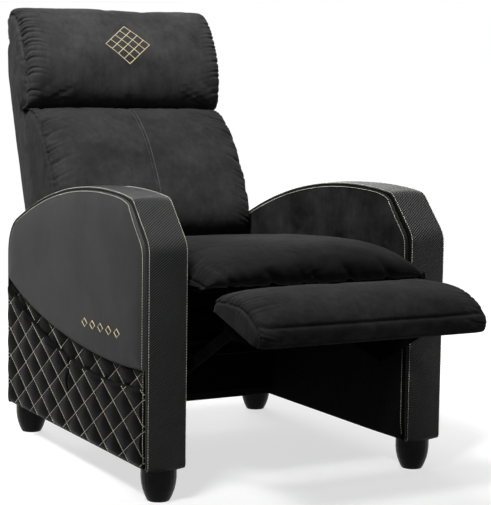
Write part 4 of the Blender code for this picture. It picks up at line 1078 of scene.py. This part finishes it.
def cushion_rings(profile, half, shape, cap_centre, bulge, seam=0.0, stations=72, close_share=None):
    """Rings of a cushion swept across the chair, closed by a gusset that bulges at each end."""
    span = 1 - np.cos(np.linspace(0, math.pi, stations))
    main = (span - 1) * 0.55 + np.linspace(-1, 1, stations) * 0.45
    if close_share is not None:
        main = np.sort(np.concatenate([main, np.linspace(-close_share, close_share, 9)]))

    def cap(side):
        edge = shape(profile, side)
        for s in CAP_SHARES:
            x = side * (half + bulge * (1 - s**4) - seam * bump(s, 1.0, 0.03))
            ring = np.column_stack([np.full(len(profile), x), cap_centre + (edge - cap_centre) * s])
            yield ring, side * (2.0 - s)

    rings = list(cap(-1.0))
    rings += [(np.column_stack([np.full(len(profile), a * half), shape(profile, a)]), a) for a in main]
    rings += list(cap(1.0))[::-1]
    return np.array([ring for ring, _ in rings]), np.array([across for _, across in rings])


def draft_mesh(points, faces):
    mesh = bpy.data.meshes.new("draft")
    mesh.from_pydata([tuple(v) for v in points.reshape(-1, 3)], [], faces)
    return mesh, outward(mesh)


def settle(rings, pinned, growth):
    """Blows up a coarse copy of a cushion as cloth, held at its seams: how far each ring point moved."""
    rows, columns = rings.shape[:2]
    rows_kept = np.unique(np.append(np.arange(0, rows, CLOTH_ROW_STEP), rows - 1))
    columns_kept = np.arange(0, columns, CLOTH_COLUMN_STEP)
    coarse = rings[np.ix_(rows_kept, columns_kept)]
    mesh, _ = draft_mesh(coarse, ring_faces(*coarse.shape[:2]))
    obj = placed("cloth draft", mesh)
    held = pinned[np.ix_(rows_kept, columns_kept)].ravel()
    obj.vertex_groups.new(name="seams").add([int(i) for i in np.where(held)[0]], 1.0, "REPLACE")
    cloth = obj.modifiers.new("cloth", "CLOTH")
    for key, value in CLOTH.items():
        setattr(cloth.settings, key, value)
    cloth.settings.shrink_min = -growth
    cloth.settings.effector_weights.gravity = 0.0
    cloth.collision_settings.use_collision = False
    cloth.collision_settings.use_self_collision = False
    for number in range(1, CLOTH_FRAMES + 1):
        bpy.context.scene.frame_set(number)
    settled = obj.evaluated_get(bpy.context.evaluated_depsgraph_get()).to_mesh()
    found = np.zeros(len(settled.vertices) * 3)
    settled.vertices.foreach_get("co", found)
    moved = found.reshape(coarse.shape) - coarse
    bpy.context.scene.frame_set(1)
    bpy.data.objects.remove(obj)
    bpy.data.meshes.remove(mesh)
    size = np.linalg.norm(moved, axis=2, keepdims=True)
    moved = moved * CLOTH_CAP / (CLOTH_CAP + size)
    moved = np.concatenate([moved, moved[:, :1]], axis=1)
    places = np.append(columns_kept, columns)
    fine = np.array([along(np.arange(columns), places, row) for row in moved])
    return np.stack([along(np.arange(rows), rows_kept, fine[:, j]) for j in range(columns)], axis=1)


def smoothed(field, row_reach, column_reach):
    """A running mean over a ring grid, wrapped round the rings."""
    total = np.zeros_like(field)
    for shift in range(-column_reach, column_reach + 1):
        total += np.roll(field, shift, axis=1)
    total /= 2 * column_reach + 1
    wide = np.pad(total, ((row_reach, row_reach), (0, 0), (0, 0)), "edge")
    return sum(wide[k : k + len(field)] for k in range(2 * row_reach + 1)) / (2 * row_reach + 1)


def cushion(sizes, shape, wrinkle, to_world, flat, material):
    """A closed, wrinkled cushion. flat says which points rest on something."""
    profile = closed_curve(sizes.profile, sizes.points)
    rings, across = cushion_rings(
        profile, CUSHION_HALF + sizes.wider, shape, np.array(sizes.centre), sizes.bulge, CAP_SEAM,
        close_share=sizes.close_share,
    )
    rows, columns = rings.shape[:2]
    draft = rings.reshape(-1, 3)
    faces = ring_faces(rows, columns)
    mesh, normals = draft_mesh(draft, faces)
    bpy.data.meshes.remove(mesh)
    sideways = np.repeat(across, columns)
    off = np.abs(np.abs(sideways) - 1.0)
    from_seam = np.where(np.abs(sideways) <= 1.0, off * CUSHION_HALF, off * CAP_RADIUS)
    dip = SEAM_DIP * bump(from_seam, 0.0, SEAM_DIP_REACH)
    moved = draft + normals * (wrinkle(draft, sideways, from_seam) - dip)[:, None]
    seam = np.abs(np.abs(across) - 1.0) < SEAM_WIDTH_SHARE
    pinned = seam[:, None] | flat(rings)
    pinned[[0, -1]] = True
    settled = settle(rings, pinned, sizes.growth_share)
    moved = moved + (settled - CALM * smoothed(settled, 7, 20)).reshape(-1, 3)
    if sizes is not HEADREST:
        moved[:, 0] = np.clip(moved[:, 0], -BETWEEN_ARMS, BETWEEN_ARMS)
    obj = piece(sizes.name, to_world(moved), faces, sizes.body, material, sizes.replaces)
    return obj


def turned(points, pivot, tilt, forward):
    """Points (x, along, up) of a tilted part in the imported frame."""
    p = np.asarray(points, float)
    cos, sin = math.cos(tilt), math.sin(tilt)
    y = pivot.y + forward * (cos * p[..., 1] + sin * p[..., 2])
    z = pivot.z - sin * p[..., 1] + cos * p[..., 2]
    return np.stack([p[..., 0], y, z], axis=-1)


def from_back(points):
    """Points (x, behind the pivot, up the back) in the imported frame."""
    return turned(points, BACK_PIVOT, BACK_TILT, 1)


def from_board(points):
    """Points (x, forward along the board, above its pivot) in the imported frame."""
    return turned(points, BOARD_PIVOT, BOARD_TILT, -1)


def edge_rounding(a, start, depth, power=2.0):
    """Scale of a cushion's thickness across the chair: 1 in the middle, less at the sides."""
    share = np.clip((abs(a) - start) / (1 - start), 0.0, 1.0)
    return 1 - depth * (1 - math.sqrt(max(0.0, 1 - share**power)))


def lumbar_shape(profile, a):
    made = profile.copy()
    scale = edge_rounding(a, 0.70, 0.16) - 0.02 * a * a
    made[:, 0] = BACK_PLANE + (profile[:, 0] - BACK_PLANE) * scale
    middle = (LUMBAR.profile[0][1] + LUMBAR.profile[4][1]) / 2
    made[:, 1] = middle + (profile[:, 1] - middle) * (1 - 0.012 * abs(a) ** 6)
    return made


def headrest_shape(profile, a):
    it = HEADREST
    made = profile.copy()
    scale = edge_rounding(a, 0.83, 0.34) - 0.02 * a * a
    scale = np.where(profile[:, 0] < BACK_PLANE, scale, edge_rounding(a, 0.88, 0.6))
    made[:, 0] = BACK_PLANE + (profile[:, 0] - BACK_PLANE) * scale
    drop = it.drop * (1 - edge_rounding(a, 0.93, 1.0)) + it.arch * a * a - it.lift * ease(a, 0.2, 1.0)
    made[:, 1] -= ease(profile[:, 1], *it.top) * drop
    return made


def seat_shape(profile, a):
    side = 0.10 + 0.58 * ease(profile[:, 0], *SEAT.near) + 0.16 * ease(profile[:, 0], *SEAT.far)
    made = profile.copy()
    share = 1 - edge_rounding(a, 0.20, 1.0, 1.9)
    made[:, 1] = SEAT_BASE + (profile[:, 1] - SEAT_BASE) * (1 - (1 - side) * share)
    made[:, 0] += ease(-profile[:, 0], *SEAT.nose) * SEAT.tuck * (1 - edge_rounding(a, 0.72, 1.0))
    return made


def pad_shape(profile, a):
    made = profile.copy()
    rear = ease(-profile[:, 0], *PAD.rear)
    scale = 1 - (0.28 + 0.14 * rear) * (1 - edge_rounding(a, 0.52, 1.0, 2.4)) - 0.03 * a * a
    made[:, 1] = PAD_BASE + (profile[:, 1] - PAD_BASE) * scale
    middle, reach = PAD.middle
    from_middle = np.clip((profile[:, 0] - middle) / reach, -1, 1)
    made[:, 0] -= from_middle * PAD.tuck * (1 - edge_rounding(a, 0.86, 1.0))
    return made


def wave_of(sizes, p, q, seed):
    """Waves of a (height, length)."""
    return sizes[0] * waves(p, q, sizes[1], seed)


def fold_of(sizes, place, seed):
    """Folds of a (depth, pitch)."""
    return sizes[0] * folds(place, sizes[1], seed)


def pleats_of(sizes, place, seed, from_seam, sideways):
    """Narrow pleats of a (depth, pitch, reach), which run off a side seam and fade out."""
    fade = np.exp(-((from_seam / sizes[2]) ** 1.3)) * (np.abs(sideways) <= 1.0001)
    return fold_of(sizes, place, seed) * fade


def cap_wrinkle(place, across, seed, from_seam, sideways):
    """Soft crumples of a cushion's side."""
    pleats = fold_of(CAP_PLEAT, place, seed) * np.exp(-from_seam / CAP_PLEAT[2])
    return (np.abs(sideways) > 1.0) * (wave_of(CAP_WAVE, across * 2, place, seed) - pleats)


def back_wrinkle(it, points, sideways, from_seam, run, rise_share, seeds):
    """What the two cushions on the back share: waves, pleats at the side seams and crumpled sides."""
    x, behind, up = points.T
    soft = ease(BACK_PLANE - behind, *it.soft)
    upper = 0.6 + rise_share * ease(up, *it.upper)
    move = wave_of(it.wave, x, up, seeds[0])
    move -= upper * pleats_of(it.pleat, run, seeds[1], from_seam, sideways)
    return move * soft + cap_wrinkle(up, behind, seeds[2], from_seam, sideways), soft


def lumbar_wrinkle(points, sideways, from_seam):
    x, _, up = points.T
    run = up + 0.35 * np.abs(x)
    move, soft = back_wrinkle(LUMBAR, points, sideways, from_seam, run, 0.6, (0.4, 0.7, 1.9))
    groove, width = LUMBAR.seam
    pucker = fold_of(LUMBAR.pucker, up, 0.3) * bump(x, 0.0, LUMBAR.pucker[2])
    brow = fold_of(LUMBAR.brow_fold, x, 2.2) * bump(up, *LUMBAR.brow)
    return move - (groove * bump(x, 0.0, width) + pucker + brow) * soft


def headrest_wrinkle(points, sideways, from_seam):
    x, behind, up = points.T
    run = up + 0.4 * behind - 0.3 * np.abs(x)
    move, soft = back_wrinkle(HEADREST, points, sideways, from_seam, run, 0.7, (1.9, 1.6, 0.4))
    return move - fold_of(HEADREST.crease_fold, x, 0.3) * bump(up, *HEADREST.crease) * soft


def seat_wrinkle(points, sideways, from_seam):
    x, y, z = points.T
    rise = z - SEAT_BASE
    soft = ease(rise, *SEAT.soft)
    top, fade = SEAT.under
    front = ease(-y, *SEAT.front) * ease(top - rise, 0.0, fade)
    pleats = pleats_of(SEAT.pleat, y, 2.6, from_seam, sideways)
    return (wave_of(SEAT.wave, x, y, 3.0) - pleats) * soft - fold_of(SEAT.fold, x + 0.8 * rise, 0.9) * front


def pad_wrinkle(points, sideways, from_seam):
    """The boxed border's seam runs along the front, with puckers at it and pleats at the sides."""
    x, y, z = points.T
    soft = ease(z - PAD_BASE, *PAD.soft)
    groove, up, width = PAD.seam
    seam = groove * bump(z, up, width) * ease(y, *PAD.seam_from)
    front = ease(y, *PAD.front)
    pucker = fold_of(PAD.pucker, x, 1.1) * bump(z, *PAD.pucker_at) * front
    corner = pleats_of(PAD.corner, z * 1.2 + 0.3 * x, 0.2, from_seam, sideways) * front
    pleats = pleats_of(PAD.pleat, y, 4.0, from_seam, sideways) * (1 - front)
    return (wave_of(PAD.wave, x, y, 6.0) - seam - pucker - corner - pleats) * soft


def on_back(rings):
    return rings[..., 1] > BACK_PLANE - ON_BACK


def build_cushions():
    """The four padded cushions, and the sewing on two of them."""
    # The lumbar, seat and footrest take velvet that is painted darker as shade
    lumbar = cushion(LUMBAR, lumbar_shape, lumbar_wrinkle, from_back, on_back, LUMBAR_SHADED_VELVET)
    headrest = cushion(HEADREST, headrest_shape, headrest_wrinkle, from_back, on_back, VELVET)
    cushion(SEAT, seat_shape, seat_wrinkle, world, lambda r: r[..., 2] < SEAT_BASE + ON_SEAT, SEAT_SHADED_VELVET)
    cushion(
        PAD, pad_shape, pad_wrinkle, from_board, lambda r: r[..., 2] < PAD_BASE + PAD.flat, FOOTREST_SHADED_VELVET
    )
    sew_lumbar_seam(lumbar)
    embroider_headrest(headrest)


# Sewing laid on a finished piece


def laid_on(obj, x, ups, spacing):
    """Drops a line in front of the back onto a piece: points and outward normals."""
    tree = BVHTree.FromPolygons([v.co for v in obj.data.vertices], [p.vertices for p in obj.data.polygons])
    toward = Vector(from_back(np.array([0.0, 1.0, 0.0])) - from_back(np.zeros(3)))
    starts = from_back(np.column_stack([x, np.full(len(ups), BEFORE_BACK), ups]))
    points, normals = [], []
    for start in resample(starts, spacing):
        place, normal, _, _ = tree.ray_cast(Vector(start), toward)
        if place is not None:
            points.append(place)
            normals.append(normal if normal.dot(toward) < 0 else -normal)
    return np.array(points), np.array(normals)


def sew_lumbar_seam(lumbar):
    """Two rows of black thread beside the lumbar cushion's middle seam."""
    ups = np.linspace(*CENTRE_ENDS, 80)
    offsets = (-CENTRE_THREAD, CENTRE_THREAD)
    runs = [laid_on(lumbar, np.full(len(ups), x), ups, SEWING_STEP) for x in offsets]
    add_stitches("lumbar_middle_stitching", runs, "back", BLACK_THREAD, CENTRE_STITCH)


def embroider_headrest(headrest):
    """A small lozenge of crossed gold lines on the headrest."""
    runs = []
    ends = np.array([-1.0, 1.0])
    for number in range(LOZENGE_LINES):
        share = 2 * number / (LOZENGE_LINES - 1) - 1
        for lean in (-1, 1):
            across = (ends + share) / 2 * EMBROIDERY_WIDTH / 2
            ups = lean * (ends - share) / 2 * EMBROIDERY_HEIGHT / 2 + EMBROIDERY_UP
            runs.append(laid_on(headrest, across, ups, SATIN_STEP))
    add_stitches("headrest_embroidery", runs, "back", GOLD, SATIN_STITCH)


def build_dust_cloth():
    """A black cloth over the rear tube that hangs to the lower rail, with a few soft folds."""
    low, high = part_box("rear_spreader_tube")
    tube = np.array([(low.y + high.y) / 2, (low.z + high.z) / 2])
    radius = (high.z - low.z) / 2
    cloth_low, cloth_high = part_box("rear_dust_cloth")
    x = np.linspace(cloth_low.x, cloth_high.x, 90)
    loose = CLOTH_STAND + CLOTH_LOOSE * ease(CLOTH_LOOSE_HALF - np.abs(x), 0.0, CLOTH_LOOSE_FADE)
    reach = radius + loose
    rows = []
    for turn in np.radians(np.linspace(-60, 180, TUBE_ROWS)):
        rows.append(np.column_stack([x, tube[0] + reach * math.cos(turn), tube[1] + reach * math.sin(turn)]))
    top_y = tube[0] - radius - loose
    for share in np.linspace(0.04, 1.0, 26):
        sway = fold_of(CLOTH_FOLD, x, 0.8) * math.sin(math.pi * share) * (1 - share * 0.5)
        y = top_y + (cloth_high.y - CLOTH_HEM - top_y) * share - sway
        rows.append(np.column_stack([x, y, np.full(len(x), tube[1] + (cloth_low.z - tube[1]) * share)]))
    outer = np.array(rows)
    inner = outer.copy()
    inner[:TUBE_ROWS, :, 1:] = tube + (outer[:TUBE_ROWS, :, 1:] - tube) * CLOTH_SKIN_SHARE
    inner[TUBE_ROWS:, :, 1] += CLOTH_SKIN
    cloth = piece(
        "rear_hanging_cloth", np.vstack([outer.reshape(-1, 3), inner.reshape(-1, 3)]),
        sheet_faces(*outer.shape[:2]), "base", LINER_AND_SHADE, ["rear_dust_cloth"], 60,
    )


def shell_shape(profile, _):
    """The back cover's outline, a little fuller low at the rear."""
    made = profile.copy()
    top, run = SHELL_LOW_UP
    fuller = ease(profile[:, 0], *SHELL_LOW_BEHIND) * ease(top - profile[:, 1], 0.0, run)
    made[:, 0] += SHELL_LOW_PUFF * fuller
    return made


def shell_move(points, sideways, half):
    """Seams, puff and slack of the back's cover."""
    x, behind, up = points.T
    rear = ease(behind, SHELL_REAR - SHELL_REAR_EDGE[0], SHELL_REAR - SHELL_REAR_EDGE[1])
    edge = np.minimum(half - np.abs(x), np.minimum(up - SHELL_LOW, SHELL_TOP - up))
    groove, width, cross_width = SHELL_GROOVE
    seams = bump(edge, SHELL_SEAM, width) + bump(up, SHELL_CROSS_SEAM, cross_width) * (edge > SHELL_SEAM)
    height, reach = SHELL_PUFF
    puff = height * ease(edge, SHELL_SEAM, reach) + wave_of(SHELL_WAVE, x, up, 2.4)
    pucker = fold_of(SHELL_PUCKER, x + up, 1.2) * bump(edge, SHELL_SEAM, SHELL_PUCKER[2])
    cap = (np.abs(sideways) > 1.0) * wave_of(SHELL_CAP_WAVE, behind * 2, up, 0.9)
    return rear * (puff - groove * seams - pucker) + cap


def build_back_shell():
    """The back's fitted cover: a soft-edged shell with seams near its borders."""
    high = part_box("back_cover")[1]
    front, low_rear, top_rear = SHELL_RADII
    corners = [
        (SHELL_FRONT, SHELL_LOW, front), (SHELL_REAR, SHELL_LOW, low_rear),
        (SHELL_REAR, SHELL_TOP, top_rear), (SHELL_FRONT, SHELL_TOP, front),
    ]
    loop = rounded(corners, 8)
    loop = resample(np.vstack([loop, loop[:1]]), SHELL_STEP)[:-1]
    centre = np.array(SHELL_CENTRE)
    rings, across = cushion_rings(loop, high.x - SHELL_ROUND, shell_shape, centre, SHELL_ROUND, stations=96)
    rings[:, :, 0] = np.clip(rings[:, :, 0], -high.x, high.x)
    draft = rings.reshape(-1, 3)
    move = shell_move(draft, np.repeat(across, rings.shape[1]), high.x)
    rear = draft[:, 1] > SHELL_REAR - SHELL_REAR_EDGE[2]
    draft[:, 1] += move * rear
    draft[:, 0] += np.sign(draft[:, 0]) * move * ~rear
    draft[:, 0] *= 1.006 - 0.028 * ease(draft[:, 2], *SHELL_NARROWING)
    faces = ring_faces(*rings.shape[:2])
    shell = piece("back_shell", from_back(draft), faces, "back", VELVET, ["back_cover"])


def dress_nodes():
    """Materials of the carried-over CAD pieces."""
    finishes = {
        "foot_plastic": PLASTIC, "frame_wood": UNDER_SEAT_SHADE_WOOD, "black_steel": STEEL, "spring_steel": BRIGHT,
        "black_velvet": VELVET, "quilted_leather": QUILT_LEATHER, "side_leather": SIDE_LEATHER,
        "ribbed_leather": RIBBED,
    }
    slots = {row["node"]: row["material_slot"] for row in frame["record"]["subparts"]}
    for name, obj in frame["nodes"].items():
        # The arm cores are lined with the black liner; the seat's front board and rail take it too, as
        # painted shade under the seat
        lined_and_shaded = name.endswith("arm_core") or name in ("seat_front_board", "seat_front_rail")
        obj.data.materials.clear()
        obj.data.materials.append(LINER_AND_SHADE if lined_and_shaded else finishes[slots[name]])


# Floor, surround, lamps and camera


def show(tree, output, unseen, seen):
    """Gives an output a shader for rays that see it, also in a gloss or through glass, and one for others."""
    rays = node(tree, "LightPath").outputs
    direct = rays["Is Camera Ray"]
    for other in ("Is Glossy Ray", "Is Transmission Ray"):
        direct = maths(tree, "MAXIMUM", direct, rays[other])
    pick = node(tree, "MixShader", {"Fac": direct, 1: unseen, 2: seen})
    tree.links.new(pick.outputs["Shader"], tree.nodes[output].inputs["Surface"])


def build_floor():
    """A pale floor that turns white away from the chair."""
    mesh = bpy.data.meshes.new("floor")
    corners = [(x * FLOOR_REACH, y * FLOOR_REACH, 0) for x, y in ((-1, -1), (1, -1), (1, 1), (-1, 1))]
    mesh.from_pydata(corners, [], [(0, 1, 2, 3)])
    floor = placed("floor", mesh)
    material, tree, shader = new_material("pale floor", 0.9, specular=0.0)
    set_inputs(shader, Base_Color=colour(0.42))
    bounce = node(tree, "BsdfDiffuse", Color=colour(0.15))
    far = node(tree, "VectorMath", {0: object_place(tree)}, {"operation": "LENGTH"}).outputs["Value"]
    near, white = FLOOR_FADE
    limits = {"From_Min": near, "From_Max": white, "To_Min": 0.66, "To_Max": 1.0}
    whiten = node(tree, "MapRange", {"Value": far}, {"interpolation_type": "SMOOTHSTEP"}, **limits)
    glow = node(tree, "Emission", {"Strength": whiten.outputs["Result"]})
    add = node(tree, "AddShader", {0: shader.outputs["BSDF"], 1: glow.outputs["Emission"]})
    show(tree, "Material Output", bounce.outputs["BSDF"], add.outputs["Shader"])
    mesh.materials.append(material)


def build_surround():
    surround = bpy.data.worlds.new("surround")
    bpy.context.scene.world = surround
    surround.use_nodes = True
    tree = surround.node_tree
    light = tree.nodes["Background"]
    set_inputs(light, Color=colour(1.0), Strength=0.08)
    seen = node(tree, "Background", Color=colour(1.0), Strength=1.0)
    show(tree, "World Output", light.outputs["Background"], seen.outputs["Background"])


def build_lamps():
    for name, place, size, power, target, spread in LAMPS:
        data = bpy.data.lights.new(name, "AREA")
        data.shape = "SQUARE"
        data.size = size
        data.energy = power
        data.spread = math.radians(spread)
        lamp = placed(name, data)
        lamp.location = place
        lamp.visible_camera = False
        lamp.rotation_mode = "QUATERNION"
        lamp.rotation_quaternion = (Vector(target) - Vector(place)).to_track_quat("-Z", "Y")


def build_camera():
    data = bpy.data.cameras.new("photo_camera")
    data.sensor_fit = "AUTO"
    data.sensor_width = SENSOR
    data.lens = FOCAL_PIXELS * SENSOR / LONG_SIDE_PIXELS
    camera = placed("photo_camera", data)
    camera.location = (CAMERA_X, CAMERA_BACK + FRONT, CAMERA_Z)
    cos, sin = math.cos(CAMERA_PITCH), math.sin(CAMERA_PITCH)
    ahead = Vector((math.sin(CAMERA_YAW) * cos, math.cos(CAMERA_YAW) * cos, sin))
    right = Vector((math.cos(CAMERA_YAW), -math.sin(CAMERA_YAW), 0.0))
    up = right.cross(ahead)
    across = right * math.cos(CAMERA_ROLL) + up * math.sin(CAMERA_ROLL)
    above = up * math.cos(CAMERA_ROLL) - right * math.sin(CAMERA_ROLL)
    camera.rotation_mode = "QUATERNION"
    camera.rotation_quaternion = Matrix((across, above, -ahead)).transposed().to_quaternion()
    bpy.context.scene.camera = camera
    bpy.context.scene.view_settings.view_transform = "Standard"


def main():
    dress_nodes()
    build_arm(-1, "right")
    build_arm(1, "left")
    build_cushions()
    build_dust_cloth()
    build_back_shell()
    build_floor()
    build_surround()
    build_lamps()
    build_camera()
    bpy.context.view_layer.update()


main()
